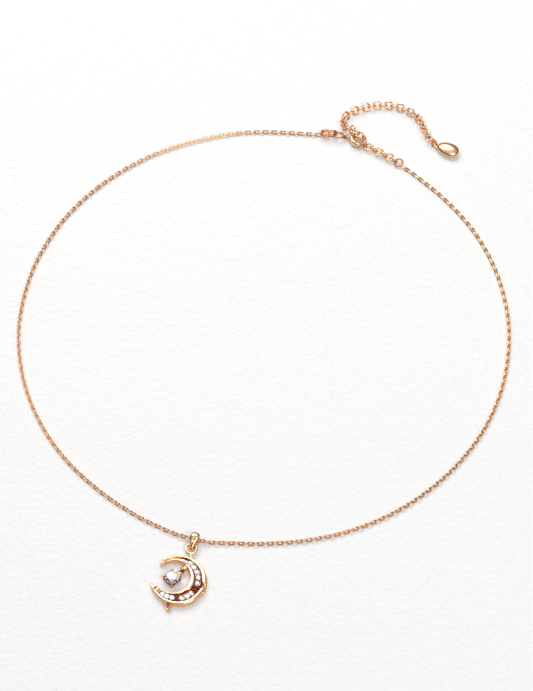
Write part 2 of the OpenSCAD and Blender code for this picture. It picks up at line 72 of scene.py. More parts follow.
# The fine chain's centre line and the extender tail's, in metres, as the CAD part has them
CHAIN_ROUTE = [
    (0.0153, 0.0665, 0.0006), (0.008, 0.0671, 0.0006), (0, 0.0675, 0.0006), (-0.008, 0.067, 0.0006),
    (-0.0164, 0.0651, 0.0006), (-0.0243, 0.0624, 0.0006), (-0.0318, 0.0587, 0.0006),
    (-0.0408, 0.0523, 0.0006), (-0.0486, 0.0445, 0.0006), (-0.055, 0.0355, 0.0006),
    (-0.0605, 0.0231, 0.0006), (-0.0632, 0.0099, 0.0006), (-0.0633, -0.0018, 0.0006),
    (-0.061, -0.014, 0.0006), (-0.0563, -0.0257, 0.0006), (-0.0495, -0.0361, 0.0006),
    (-0.0408, -0.045, 0.0006), (-0.032, -0.0516, 0.0006), (-0.026, -0.055, 0.0006),
    (-0.0214, -0.0573, 0.0008), (-0.0173, -0.0587, 0.0012), (-0.0134, -0.0595, 0.0008),
    (-0.0085, -0.0596, 0.0006), (0, -0.0598, 0.0006), (0.011, -0.0588, 0.0006),
    (0.0217, -0.056, 0.0006), (0.0318, -0.0513, 0.0006), (0.0408, -0.0449, 0.0006),
    (0.0486, -0.0371, 0.0006), (0.055, -0.0281, 0.0006), (0.0597, -0.018, 0.0006),
    (0.0625, -0.0073, 0.0006), (0.0635, 0.0037, 0.0006), (0.0625, 0.0147, 0.0006),
    (0.0597, 0.0254, 0.0006), (0.055, 0.0355, 0.0006), (0.0486, 0.0445, 0.0006),
    (0.042, 0.0515, 0.0006), (0.0374, 0.0558, 0.0006),
]
TAIL_ROUTE = [
    (0.02725, 0.06295, 0.0018), (0.0267, 0.0635, 0.0031), (0.0258, 0.0644, 0.0035),
    (0.0247, 0.0656, 0.0034), (0.0235, 0.0669, 0.0027), (0.0222, 0.0684, 0.0016),
    (0.0215, 0.0701, 0.00097), (0.0219, 0.072, 0.00095), (0.0235, 0.0738, 0.00095),
    (0.0259, 0.075, 0.00095), (0.0286, 0.076, 0.00095), (0.0314, 0.0765, 0.00095),
    (0.0342, 0.0764, 0.00095), (0.0369, 0.0758, 0.00095), (0.0393, 0.0746, 0.001),
    (0.0414, 0.0729, 0.00105), (0.0428, 0.0708, 0.00112), (0.0436, 0.0684, 0.00118),
    (0.0444, 0.0661, 0.0012), (0.0453, 0.0643, 0.0012), (0.0465, 0.0629, 0.0012),
]


# ---- Shader maths ---------------------------------------------------------------------------------


class Socket:
    """A node's output, or a number, that can be used in Python expressions."""

    def __init__(self, tree: bpy.types.NodeTree, source: bpy.types.NodeSocket) -> None:
        """Wraps one output socket.

        Args:
            tree: Node tree that the socket belongs to.
            source: Output socket.
        """
        self.tree = tree
        self.source = source

    def _math(self, operation: str, first: object, second: object = None) -> "Socket":
        """Adds one Math node.

        Args:
            operation: Name of the Math node's operation.
            first: Socket or number.
            second: Socket or number, or None.

        Returns:
            The node's output.
        """
        node = self.tree.nodes.new("ShaderNodeMath")
        node.operation = operation
        for slot, value in zip(node.inputs, (first, second)):
            if isinstance(value, Socket):
                self.tree.links.new(value.source, slot)
            elif value is not None:
                slot.default_value = value
        return Socket(self.tree, node.outputs[0])

    def __add__(self, other: object) -> "Socket":
        """Sum."""
        return self._math("ADD", self, other)

    __radd__ = __add__

    def __mul__(self, other: object) -> "Socket":
        """Product."""
        return self._math("MULTIPLY", self, other)

    __rmul__ = __mul__

    def __sub__(self, other: object) -> "Socket":
        """Difference."""
        return self._math("SUBTRACT", self, other)

    def __rsub__(self, other: object) -> "Socket":
        """Reflected difference."""
        return self._math("SUBTRACT", other, self)

    def __pow__(self, other: object) -> "Socket":
        """Power."""
        return self._math("POWER", self, other)

    def clamped(self) -> "Socket":
        """The value held between 0 and 1."""
        return self._math("MINIMUM", self._math("MAXIMUM", self, 0.0), 1.0)

    def step(self, low: float, high: float) -> "Socket":
        """A straight ramp from 0 at low to 1 at high.

        Args:
            low: Value that gives 0.
            high: Value that gives 1.

        Returns:
            The ramp, held between 0 and 1.
        """
        return ((self - low) * (1.0 / (high - low))).clamped()


class Graph:
    """Builds the nodes of one material or world."""

    def __init__(self, owner: bpy.types.Material | bpy.types.World) -> None:
        """Empties the owner's node tree.

        Args:
            owner: Material or world to fill.
        """
        self.owner = owner
        owner.use_nodes = True
        self.tree = owner.node_tree
        self.tree.nodes.clear()

    def node(self, kind: str, settings: dict | None = None, **values: object) -> bpy.types.Node:
        """Adds one node.

        Args:
            kind: Node type without its ShaderNode prefix.
            settings: Properties of the node, set before its sockets.
            **values: Input sockets by name, with _ for a space: a Socket or a plain value.

        Returns:
            The new node.
        """
        made = self.tree.nodes.new("ShaderNode" + kind)
        for name, value in (settings or {}).items():
            setattr(made, name, value)
        for name, value in values.items():
            slot = made.inputs[name.replace("_", " ")]
            if isinstance(value, Socket):
                self.tree.links.new(value.source, slot)
            else:
                slot.default_value = value
        return made

    def out(self, made: bpy.types.Node, name: str | int = 0) -> Socket:
        """Wraps an output of a node.

        Args:
            made: The node.
            name: Name or index of its output.

        Returns:
            The wrapped socket.
        """
        return Socket(self.tree, made.outputs[name])

    def place(self, kind: str = "Object") -> Socket:
        """Gives the coordinates of the point that is shaded.

        Args:
            kind: Which of the coordinates.

        Returns:
            The coordinates.
        """
        return self.out(self.node("TexCoord"), kind)

    def height(self, where: Socket) -> Socket:
        """Gives the height in some coordinates.

        Args:
            where: Coordinates.

        Returns:
            Their Z.
        """
        return self.out(self.node("SeparateXYZ", None, Vector=where), "Z")

    def close(self, shader: bpy.types.Node, kind: str = "OutputMaterial") -> bpy.types.ID:
        """Links the last shader to the output.

        Args:
            shader: The shader's node.
            kind: Node type of the output.

        Returns:
            The finished material or world.
        """
        end = self.node(kind)
        self.tree.links.new(shader.outputs[0], end.inputs[0])
        return self.owner

    def noise(self, where: Socket, scale: float, detail: float = 2.0, rough: float = 0.5) -> Socket:
        """A noise pattern from 0 to 1.

        Args:
            where: Coordinates.
            scale: Cycles per metre.
            detail: Octaves.
            rough: Strength of the fine octaves.

        Returns:
            The pattern.
        """
        made = self.node("TexNoise", None, Vector=where, Scale=scale, Detail=detail, Roughness=rough)
        return self.out(made, "Fac")

    def blend(self, share: Socket, first: Sequence[float], second: Sequence[float]) -> Socket:
        """Mixes two colours.

        Args:
            share: 0 gives the first, 1 the second.
            first: Linear colour, or a Socket.
            second: Linear colour, or a Socket.

        Returns:
            The mixed colour.
        """
        made = self.node("Mix", {"data_type": "RGBA", "clamp_factor": True})
        ends = {"Factor": 0, "A": 6, "B": 7}
        for name, value in (("Factor", share), ("A", first), ("B", second)):
            slot = made.inputs[ends[name]]
            if isinstance(value, Socket):
                self.tree.links.new(value.source, slot)
            else:
                slot.default_value = (*value, 1.0)[:4]
        return Socket(self.tree, made.outputs[2])


# ---- Finishes -------------------------------------------------------------------------------------


@dataclass(frozen=True)
class PlatedMetal:
    """Rose-gold plating over a base metal.

    Attributes:
        name: Material name.
        colour: Linear colour of the plating where no painted shade lies.
        deep: Linear colour of the painted shade towards the piece's foot.
        low: Height in mm below which the painted shade colour shows fully.
        high: Height in mm above which the plating's own colour shows fully.
        roughness: Lowest roughness of the polish.
        wear: How much the roughness varies.
        grain: Strength of the fine casting or drawing marks.
        grain_size: Size of those marks in mm.
    """

    name: str
    colour: tuple[float, float, float] = (0.90, 0.55, 0.32)
    deep: tuple[float, float, float] = (0.42, 0.14, 0.04)
    low: float = -1.0
    high: float = -0.5
    roughness: float = 0.10
    wear: float = 0.12
    grain: float = 0.06
    grain_size: float = 0.12

    def material(self) -> bpy.types.Material:
        """Builds the material.

        Returns:
            The material.
        """
        graph = Graph(bpy.data.materials.new(self.name))
        place = graph.place()
        height = graph.height(place) * (1 / MM)
        # Painted shade: below high the colour darkens towards deep, so the lower parts look shaded
        unshaded = height.step(self.low, self.high)
        cloud = graph.noise(place, 1 / (2.5 * MM), 3.0)
        fine = graph.noise(place, 1 / (self.grain_size * MM), 2.0, 0.6)
        tint = graph.blend((cloud - 0.35) * 1.4, self.colour, tuple(c * 0.93 for c in self.colour))
        base = graph.blend(unshaded, self.deep, tint)
        rough = self.roughness + (cloud * 0.6 + fine * 0.4) * self.wear + (1 - unshaded) * 0.12
        bump = graph.node("Bump", None, Strength=self.grain, Distance=0.02 * MM, Height=fine)
        shader = graph.node(
            "BsdfPrincipled", None, Base_Color=base, Metallic=1.0, Roughness=rough.clamped(),
            Normal=graph.out(bump),
        )
        return graph.close(shader)


@dataclass(frozen=True)
class CutStone:
    """Clear cut stone with a faint tint and painted facet reflections.

    Attributes:
        name: Material name.
        tint: Linear colour of the body.
        cast: Linear colour of the painted grey reflections that some facets take.
        shade: Linear colour of the few facets with painted dark reflections.
        facet: Size of one inner reflection in mm.
        sheen: Share of plain mirror gloss over the glass.
    """

    name: str
    tint: tuple[float, float, float] = (0.95, 0.96, 1.0)
    cast: tuple[float, float, float] = (0.55, 0.54, 0.72)
    shade: tuple[float, float, float] = (0.05, 0.035, 0.07)
    facet: float = 0.35
    sheen: float = 0.8

    def material(self) -> bpy.types.Material:
        """Builds the material.

        Returns:
            The material.
        """
        graph = Graph(bpy.data.materials.new(self.name))
        place = graph.place()
        # Painted reflections: the Voronoi cells colour the facets white, grey or dark in place of the
        # stone's real reflections
        cells = graph.node("TexVoronoi", None, Vector=place, Scale=1 / (self.facet * MM))
        spark = graph.out(graph.node("SeparateColor", None, Color=graph.out(cells, "Color")), "Red")
        body = graph.blend(spark.step(0.55, 0.75), self.tint, self.cast)
        body = graph.blend(spark.step(0.80, 0.84), body, self.shade)
        fine = graph.noise(place, 1 / (0.3 * MM), 1.0)
        shader = graph.node(
            "BsdfPrincipled", None, Base_Color=body, Metallic=0.0, Roughness=0.02 + fine * 0.04,
            IOR=2.1, Transmission_Weight=1.0 - self.sheen, Coat_Weight=0.8, Coat_Roughness=0.02,
        )
        return graph.close(shader)


@dataclass(frozen=True)
class SpringWire:
    """Plain drawn steel wire.

    Attributes:
        name: Material name.
        colour: Linear colour.
    """

    name: str = "spring_wire"
    colour: tuple[float, float, float] = (0.56, 0.57, 0.58)

    def material(self) -> bpy.types.Material:
        """Builds the material.

        Returns:
            The material.
        """
        graph = Graph(bpy.data.materials.new(self.name))
        place = graph.place()
        drawn = graph.noise(place, 1 / (0.05 * MM), 2.0)
        base = graph.blend(drawn, self.colour, tuple(c * 0.8 for c in self.colour))
        shader = graph.node(
            "BsdfPrincipled", None, Base_Color=base, Metallic=1.0, Roughness=drawn * 0.2 + 0.2
        )
        return graph.close(shader)


@dataclass(frozen=True)
class WhitePlaster:
    """Plain pale surface that the necklace lies on.

    Attributes:
        name: Material name.
        colour: Linear colour.
        relief: Depth of the surface's soft texture in mm.
        glow: Light that comes back out of the plaster.
    """

    name: str = "white_plaster"
    colour: tuple[float, float, float] = (0.68, 0.68, 0.68)
    relief: float = 0.5
    glow: float = 0.13

    def material(self) -> bpy.types.Material:
        """Builds the material.

        Returns:
            The material.
        """
        graph = Graph(bpy.data.materials.new(self.name))
        place = graph.place()
        relief = graph.noise(place, 1 / (1.5 * MM), 3.0, 0.6)
        bump = graph.node("Bump", None, Strength=1.0, Distance=self.relief * MM, Height=relief)
        shader = graph.node(
            "BsdfPrincipled", None, Base_Color=(*self.colour, 1.0), Roughness=0.8,
            Emission_Color=(1.0, 1.0, 1.0, 1.0), Emission_Strength=self.glow, Normal=graph.out(bump),
        )
        return graph.close(shader)


class Finish(Enum):
    """The finishes of the necklace's pieces."""

    CHAIN = PlatedMetal("chain_gold", colour=(0.84, 0.48, 0.25), roughness=0.24, wear=0.16, grain=0.05)
    EXTENDER = PlatedMetal("extender_gold", colour=(0.88, 0.51, 0.27), roughness=0.16, wear=0.12)
    # Painted shade: the rings' gold is a darker copy of the plating, as for rings lying in shadow
    RING = PlatedMetal("ring_gold", colour=(0.66, 0.30, 0.12), roughness=0.18)
    MOON = PlatedMetal("moon_gold", roughness=0.09, wear=0.10)
    # Painted shade: near-black colour of the channel floor and its bars, for the shade between the stones
    CHANNEL = PlatedMetal("channel_painted_shade", colour=(0.11, 0.028, 0.010), roughness=0.34, grain=0.2)
    BAIL = PlatedMetal("bail_gold", roughness=0.10, wear=0.08)
    # Painted shade: low and high darken the setting's lower part under the stone
    SETTING = PlatedMetal("setting_gold", colour=(0.84, 0.44, 0.19), low=0.6, high=2.6, roughness=0.12)
    # Painted shade: low and high darken the clasp's lower half
    CLASP = PlatedMetal("clasp_gold", roughness=0.12, low=0.2, high=1.3)
    RIVET = PlatedMetal("rivet_gold", colour=(0.80, 0.48, 0.30), roughness=0.22)
    TAG = PlatedMetal("tag_gold", roughness=0.24, wear=0.08, grain=0.02)
    # cast and facet set the stones' painted facet reflections
    SMALL_STONE = CutStone("small_stone", cast=(0.36, 0.33, 0.46), facet=0.3)
    CENTRE_STONE = CutStone("centre_stone", cast=(0.42, 0.40, 0.70), facet=0.42)
    SPRING = SpringWire()


class Wardrobe:
    """Makes each finish's material once and puts it on pieces."""

    def __init__(self) -> None:
        """Starts with no materials made."""
        self.made: dict[Finish, bpy.types.Material] = {}

    def material(self, finish: Finish) -> bpy.types.Material:
        """Gives a finish's material.

        Args:
            finish: The finish.

        Returns:
            Its material.
        """
        if finish not in self.made:
            self.made[finish] = finish.value.material()
        return self.made[finish]

    def dress(self, piece: bpy.types.Object, finish: Finish) -> None:
        """Puts a finish on a piece.

        Args:
            piece: The piece.
            finish: The finish.
        """
        piece.data.materials.clear()
        piece.data.materials.append(self.material(finish))

    def dress_node(self, name: str, finish: Finish) -> None:
        """Puts a finish on every material slot of a CAD node that stays.

        Args:
            name: The node's name.
            finish: The finish.
        """
        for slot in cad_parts[name].material_slots:
            slot.material = self.material(finish)


WARDROBE = Wardrobe()


# ---- Mesh helpers ---------------------------------------------------------------------------------


def deselect() -> None:
    """Deselects every object."""
    bpy.ops.object.select_all(action="DESELECT")


def pick(piece: bpy.types.Object) -> None:
    """Makes one object the selected and active one.

    Args:
        piece: The object.
    """
    deselect()
    piece.select_set(True)
    bpy.context.view_layer.objects.active = piece


def settle(piece: bpy.types.Object, smooth_angle: float | None = 40.0) -> bpy.types.Object:
    """Applies a piece's transform and shades it.

    Args:
        piece: The object.
        smooth_angle: Edges sharper than this in degrees stay sharp; None shades flat.

    Returns:
        The same object, at the origin, unturned and unscaled.
    """
    pick(piece)
    bpy.ops.object.transform_apply(location=True, rotation=True, scale=True)
    if smooth_angle is None:
        bpy.ops.object.shade_flat()
    else:
        bpy.ops.object.shade_smooth_by_angle(angle=math.radians(smooth_angle))
    return piece


def join(name: str, pieces: Sequence[bpy.types.Object]) -> bpy.types.Object:
    """Joins objects into one.

    Args:
        name: Name of the joined object.
        pieces: Objects to join; the first one keeps its place.

    Returns:
        The joined object.
    """
    deselect()
    for piece in pieces:
        piece.select_set(True)
    bpy.context.view_layer.objects.active = pieces[0]
    if len(pieces) > 1:
        bpy.ops.object.join()
    made = bpy.context.view_layer.objects.active
    made.name = name
    made.data.name = name
    return made


def lay_rings(name: str, rings: Sequence[Sequence[Vector]], closed: bool = False) -> bpy.types.Object:
    """Wraps a grid into a tube whose cross-sections are the given rings of points.

    Args:
        name: Name of the object.
        rings: Cross-sections in millimetres, each with the same number of points.
        closed: Whether the last ring joins the first one.

    Returns:
        The object, closed and facing outwards.
    """
    along, around = len(rings) + (1 if closed else 0), len(rings[0])
    deselect()
    bpy.ops.mesh.primitive_grid_add(x_subdivisions=along - 1, y_subdivisions=around, size=2)
    made = bpy.context.active_object
    made.name = name
    made.data.name = name
    for vertex in made.data.vertices:
        column = round((vertex.co.x + 1) / 2 * (along - 1)) % len(rings)
        row = round((vertex.co.y + 1) / 2 * around) % around
        vertex.co = rings[column][row] * MM
    bpy.ops.object.mode_set(mode="EDIT")
    bpy.ops.mesh.select_all(action="SELECT")
    bpy.ops.mesh.remove_doubles(threshold=0.0005 * MM)
    if not closed:
        bpy.ops.mesh.select_all(action="DESELECT")
        bpy.ops.mesh.select_mode(type="EDGE")
        bpy.ops.mesh.select_non_manifold(
            extend=False, use_wire=False, use_multi_face=False, use_non_contiguous=False, use_verts=False
        )
        bpy.ops.mesh.fill_holes(sides=0)
        bpy.ops.mesh.select_mode(type="VERT")
    bpy.ops.mesh.select_all(action="SELECT")
    bpy.ops.mesh.normals_make_consistent(inside=False)
    bpy.ops.object.mode_set(mode="OBJECT")
    return settle(made)


def copy_at(model: bpy.types.Object, places: Iterable[Matrix], name: str) -> bpy.types.Object:
    """Copies a model object to many places and joins the copies; the model itself is removed.

    Args:
        model: The object to copy, built about the origin.
        places: Placements in metres.
        name: Name of the joined object.

    Returns:
        The joined object.
    """
    copies = []
    for place in places:
        copy = model.copy()
        copy.data = model.data.copy()
        bpy.context.collection.objects.link(copy)
        copy.data.transform(place)
        copies.append(copy)
    bpy.data.objects.remove(model, do_unlink=True)
    return join(name, copies)


def curve(route: Sequence[Sequence[float]], steps: int) -> list[Vector]:
    """Samples the smooth curve through a route, with the ends carried straight on.

    Args:
        route: Points of the route.
        steps: Points for each stretch.

    Returns:
        Points along the curve.
    """
    points = [Vector(p) for p in route]
    points = [2 * points[0] - points[1], *points, 2 * points[-1] - points[-2]]
    made = []
    for i in range(1, len(points) - 2):
        a, b, c, d = points[i - 1:i + 3]
        for k in range(steps):
            t = k / steps
            made.append(
                0.5 * (2 * b + (c - a) * t + (2 * a - 5 * b + 4 * c - d) * t * t
                       + (3 * b - a - 3 * c + d) * t * t * t)
            )
    return [*made, points[-2].copy()]


class Path:
    """A sampled curve with its running lengths."""

    def __init__(self, points: Sequence[Vector]) -> None:
        """Measures the curve.

        Args:
            points: Points along the curve.
        """
        self.points = list(points)
        self.lengths = [0.0]
        for first, second in zip(self.points, self.points[1:]):
            self.lengths.append(self.lengths[-1] + (second - first).length)

    @property
    def length(self) -> float:
        """Length of the whole curve."""
        return self.lengths[-1]

    def at(self, distance: float) -> Vector:
        """Gives the point at a distance along the curve.

        Args:
            distance: Distance from its start.

        Returns:
            The point.
        """
        i = int(np.searchsorted(self.lengths, distance)) - 1
        i = max(0, min(i, len(self.points) - 2))
        share = (distance - self.lengths[i]) / (self.lengths[i + 1] - self.lengths[i])
        return self.points[i].lerp(self.points[i + 1], share)


def turns(count: int) -> list[float]:
    """Gives directions evenly spread round a circle.

    Args:
        count: Number of directions.

    Returns:
        The directions in radians.
    """
    return [2 * math.pi * k / count for k in range(count)]


def heading(turn: float) -> Vector:
    """Gives the level direction at an angle in radians.

    Args:
        turn: Angle from the X axis.

    Returns:
        The direction, one long.
    """
    return Vector((math.cos(turn), math.sin(turn), 0))


def squared(value: float, power: float) -> float:
    """Bends a sine or cosine so that the ellipse made with it gets squarer.

    Args:
        value: Sine or cosine.
        power: 1 changes nothing and less is squarer.

    Returns:
        The bent value.
    """
    return abs(value) ** power * math.copysign(1, value)


def placed(at: Sequence[float], turn: float = 0.0, tilt: float = 0.0) -> Matrix:
    """Places something at a point, tilted about its own X and then turned about Z.

    Args:
        at: The point in millimetres.
        turn: Turn in degrees.
        tilt: Tilt in degrees.

    Returns:
        The placement.
    """
    return (
        Matrix.Translation(Vector(at) * MM)
        @ Matrix.Rotation(math.radians(turn), 4, "Z")
        @ Matrix.Rotation(math.radians(tilt), 4, "X")
    )


def between(start: Vector, end: Vector, roll: float) -> Matrix:
    """Places something that lies along X from one point to another.

    Args:
        start: First point.
        end: Second point.
        roll: Roll about the line in degrees.

    Returns:
        The placement.
    """
    way = end - start
    return (
        Matrix.Translation((start + end) / 2)
        @ Matrix.Rotation(math.atan2(way.y, way.x), 4, "Z")
        @ Matrix.Rotation(-math.asin(max(-1, min(1, way.z / way.length))), 4, "Y")
        @ Matrix.Rotation(math.radians(roll), 4, "X")
    )


def torus(outer: float, wire: float, around: int = 48, across: int = 16) -> bpy.types.Object:
    """Adds a ring of round wire about the origin, lying flat.

    Args:
        outer: Outer diameter in millimetres.
        wire: Wire thickness in millimetres.
        around: Segments round the ring.
        across: Segments round the wire.

    Returns:
        The ring.
    """
    deselect()
    bpy.ops.mesh.primitive_torus_add(
        major_radius=(outer - wire) / 2 * MM, minor_radius=wire / 2 * MM,
        major_segments=around, minor_segments=across,
    )
    return bpy.context.active_object


def oval_link(
    length: float, width: float, wire: float, around: int = 40, across: int = 12
) -> bpy.types.Object:
    """Makes one oval chain link along X about the origin, lying flat.

    Args:
        length: Outer length in millimetres.
        width: Outer width in millimetres.
        wire: Wire thickness in millimetres.
        around: Segments round the link.
        across: Segments round the wire.

    Returns:
        The link.
    """
    made = torus(width, wire, around, across)
    half = (length - width) / 2 * MM
    for side in (-1, 1):
        bpy.ops.object.mode_set(mode="EDIT")
        bpy.ops.mesh.select_all(action="DESELECT")
        bpy.ops.object.mode_set(mode="OBJECT")
        for vertex in made.data.vertices:
            vertex.select = vertex.co.x * side > 1e-7
        bpy.ops.object.mode_set(mode="EDIT")
        bpy.ops.transform.translate(value=(side * half, 0, 0))
        bpy.ops.object.mode_set(mode="OBJECT")
    return settle(made)


def ball(centre: Sequence[float], size: float, squash: float = 1.0) -> bpy.types.Object:
    """Adds a small bead.

    Args:
        centre: Centre in millimetres.
        size: Diameter in millimetres.
        squash: Height as a share of the diameter.

    Returns:
        The bead.
    """
    deselect()
    bpy.ops.mesh.primitive_uv_sphere_add(
        segments=16, ring_count=10, radius=size / 2 * MM, location=Vector(centre) * MM,
        scale=(1, 1, squash),
    )
    return settle(bpy.context.active_object, 60)


def finish_piece(
    piece: bpy.types.Object, finish: Finish | None, body: str, node: str,
    smooth_angle: float | None = 180.0,
) -> bpy.types.Object:
    """Shades and dresses a piece and puts it on its CAD body in place of a CAD node.

    Args:
        piece: The piece.
        finish: Its finish, or None for a piece that is dressed already.
        body: CAD body that it rides on.
        node: CAD node that it stands for.
        smooth_angle: Edges sharper than this in degrees stay sharp; None shades flat.

    Returns:
        The same piece.
    """
    settle(piece, smooth_angle)
    if finish:
        WARDROBE.dress(piece, finish)
    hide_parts(node)
    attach(piece, body)
    return piece


# ---- Camera, light and floor ----------------------------------------------------------------------


@dataclass(frozen=True)
class Camera:
    """The camera that looks down at the necklace from its front.

    Attributes:
        look_at: Point in the middle of the picture, in mm.
        tilt: Angle of the view above the surface, in degrees.
        distance: Distance from that point, in mm.
        lens: Focal length in mm.
    """

    look_at: tuple[float, float, float] = (0.626, -1.619, 0.0)
    tilt: float = 57.15
    distance: float = 635.0
    lens: float = 128.1

    def build(self) -> bpy.types.Object:
        """Makes the scene's camera.

        Returns:
            The camera.
        """
        tilt = math.radians(self.tilt)
        spot = Vector(self.look_at) + self.distance * Vector((0, -math.cos(tilt), math.sin(tilt)))
        deselect()
        bpy.ops.object.camera_add(location=spot * MM, rotation=(math.radians(90 - self.tilt), 0, 0))
        made = bpy.context.active_object
        made.data.lens = self.lens
        made.data.sensor_width = 36.0
        made.data.clip_start = 0.05
        made.data.clip_end = 20.0
        bpy.context.scene.camera = made
        return made


@dataclass(frozen=True)
class Lamp:
    """One soft area light.

    Attributes:
        name: Name of the light.
        spot: Its place in mm.
        size: Its width and height in mm.
        power: Its power in watts.
        colour: Its linear colour.
    """

    name: str
    spot: tuple[float, float, float]
    size: tuple[float, float]
    power: float
    colour: tuple[float, float, float] = (1.0, 1.0, 1.0)

    def build(self) -> bpy.types.Object:
        """Makes the light, turned towards the necklace's middle.

        Returns:
            The light.
        """
        spot = Vector(self.spot)
        turn = (-spot).to_track_quat("-Z", "Y").to_euler()
        deselect()
        bpy.ops.object.light_add(type="AREA", location=spot * MM, rotation=turn)
        made = bpy.context.active_object
        made.name = self.name
        made.data.shape = "RECTANGLE"
        made.data.size, made.data.size_y = (side * MM for side in self.size)
        made.data.energy = self.power
        made.data.color = self.colour
        return made


@dataclass
class Studio:
    """White floor and soft light.

    Attributes:
        floor_size: Side of the floor in mm.
        sky: Linear colour of the surround's light from above.
        low_sky: Linear colour of its light from the sides and from below.
        dusk: Heights, from -1 to 1, between which one turns into the other.
        sky_strength: Strength of the surround's light.
        lamps: Area lights.
    """

    floor_size: float = 1500.0
    sky: tuple[float, float, float] = (1.0, 1.0, 1.0)
    low_sky: tuple[float, float, float] = (0.035, 0.025, 0.02)
    dusk: tuple[float, float] = (0.15, 0.95)
    sky_strength: float = 0.75
    lamps: tuple[Lamp, ...] = (
        Lamp("window", (-140, 420, 580), (760, 440), 4.5),
        Lamp("fill", (260, -420, 620), (320, 320), 2.2, (1.0, 0.99, 0.98)),
    )

    def build(self) -> None:
        """Makes the floor, lamps, surround and view settings."""
        deselect()
        bpy.ops.mesh.primitive_plane_add(size=self.floor_size * MM)
        floor = bpy.context.active_object
        floor.name = "floor"
        floor.data.materials.append(WhitePlaster().material())
        lights = [lamp.build() for lamp in self.lamps]
        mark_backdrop(floor, *lights)
        graph = Graph(bpy.data.worlds.new("surround"))
        height = graph.height(graph.place("Generated"))
        tone = graph.blend(height.step(*self.dusk) ** 1.5, self.low_sky, self.sky)
        light = graph.node("Background", None, Color=tone, Strength=self.sky_strength)
        scene = bpy.context.scene
        scene.world = graph.close(light, "OutputWorld")
        scene.view_settings.view_transform = "Standard"
        scene.view_settings.look = "None"


# ---- Fine chain -----------------------------------------------------------------------------------


@dataclass
class FineChain:
    """The loop of fine cable chain.

    Attributes:
        pitch: Distance from link to link.
        length: Outer length of a link.
        width: Outer width of a link.
        wire: Wire thickness.
        drop: How far the links' middle line lies below the route.
        envelope: Diameter that the whole chain takes up; not used.
    """

    pitch: float = 1.194
    length: float = 1.93
    width: float = 1.1
    wire: float = 0.34
    drop: float = 0.1
    envelope: float = 1.2

    def build(self) -> bpy.types.Object:
        """Returns:
            The chain.
        """
        line = Path([p - Vector((0, 0, self.drop * MM)) for p in curve(CHAIN_ROUTE, 24)])
        count = round(line.length / (self.pitch * MM))
        step = line.length / count
        places = [
            between(line.at(k * step), line.at((k + 1) * step), 45 if k % 2 else -45)
            for k in range(count)
        ]
        link = oval_link(self.length, self.width, self.wire, 12, 6)
        made = copy_at(link, places, "fine_chain_links")
        finish_piece(made, Finish.CHAIN, "chain", "chain")
        LOG.info("%d links over %.1f mm of chain", count, line.length / MM)
        return made


# ---- Rings, extender and tag ----------------------------------------------------------------------


@dataclass
class Rings:
    """The round and oval rings at both ends of the fine chain, and the tag's ring.

    Attributes:
        wire: Wire thickness.
        clasp_ring: Outer diameter of the ring that carries the clasp.
        clasp_ring_at: Its centre.
        clasp_ring_turn: Its direction about Z, in degrees.
        side_ring: Outer diameter of the ring at the extender's end.
        side_ring_at: Its centre.
        tag_ring: Outer diameter of the tag's ring.
        tag_ring_at: Its centre.
        chain_end: End of the fine chain, where the double end ring starts.
        end_ring_width: Outer width of the double end ring.
        end_ring_roll: Its roll about its length, in degrees.
        end_gap: Room between it and the ring that carries the clasp.
        knot: Outer diameter and wire thickness of the small ring that is closed up inside it.
        knot_at: Centre of the small ring.
    """

    wire: float = 0.45
    clasp_ring: float = 3.5
    clasp_ring_at: tuple[float, float, float] = (20.5341, 66.1203, 1.0)
    clasp_ring_turn: float = -16.0
    side_ring: float = 2.6
    side_ring_at: tuple[float, float, float] = (36.4357, 56.7014, 0.95)
    tag_ring: float = 2.4
    tag_ring_at: tuple[float, float, float] = (46.2572, 63.1218, 1.187)
    chain_end: tuple[float, float] = (15.555, 66.5)
    end_ring_width: float = 2.8
    end_ring_roll: float = 100.0
    end_gap: float = 0.25
    knot: tuple[float, float] = (2.3, 0.5)
    knot_at: tuple[float, float, float] = (16.9, 66.45, 1.3)

    def _ring(
        self, name: str, size: float, at: Sequence[float], turn: float, tilt: float, body: str
    ) -> bpy.types.Object:
        """Makes one round ring in place of its CAD node.

        Args:
            name: CAD node that it replaces.
            size: Outer diameter.
            at: Centre.
            turn: Direction about Z in degrees.
            tilt: Tilt about its own X in degrees.
            body: CAD body that it rides on.

        Returns:
            The ring.
        """
        made = torus(size, self.wire, 64, 20)
        made.data.transform(placed(at, turn, tilt))
        made.name = name + "_wire"
        return finish_piece(made, Finish.RING, body, name)

    def _end_ring(self) -> bpy.types.Object:
        """Makes the double end ring and the small ring closed up inside it.

        Returns:
            The end ring.
        """
        near = Vector(self.chain_end)
        reach = (self.clasp_ring - self.wire) / 2 - self.wire - self.end_gap
        way = heading(math.radians(self.clasp_ring_turn)).to_2d()
        far = Vector(self.clasp_ring_at[:2]) - reach * way
        way, middle = far - near, (near + far) / 2
        roll = math.radians(self.end_ring_roll)
        height = (self.end_ring_width - self.wire) / 2 * math.sin(roll) + self.wire / 2 + 0.02
        place = placed((*middle, height), math.degrees(math.atan2(way.y, way.x)), self.end_ring_roll)
        coils = []
        for side in (-1, 1):
            coil = oval_link(way.length + self.wire, self.end_ring_width, self.wire, 64, 20)
            coil.data.transform(place @ placed((0, 0, side * self.wire * 0.45)))
            coils.append(coil)
        knot = torus(*self.knot, 48, 16)
        knot.data.transform(placed(self.knot_at, 20, 38))
        made = join("end_ring_wire", [*coils, knot])
        return finish_piece(made, Finish.RING, "chain", "end_ring")

    def build(self) -> None:
        """Makes the four rings."""
        self._ring("clasp_ring", self.clasp_ring, self.clasp_ring_at, self.clasp_ring_turn, -25, "chain")
        self._ring("side_ring", self.side_ring, self.side_ring_at, -40, 25, "chain")
        self._ring("tag_ring", self.tag_ring, self.tag_ring_at, -50, 75, "tag_ring")
        self._end_ring()


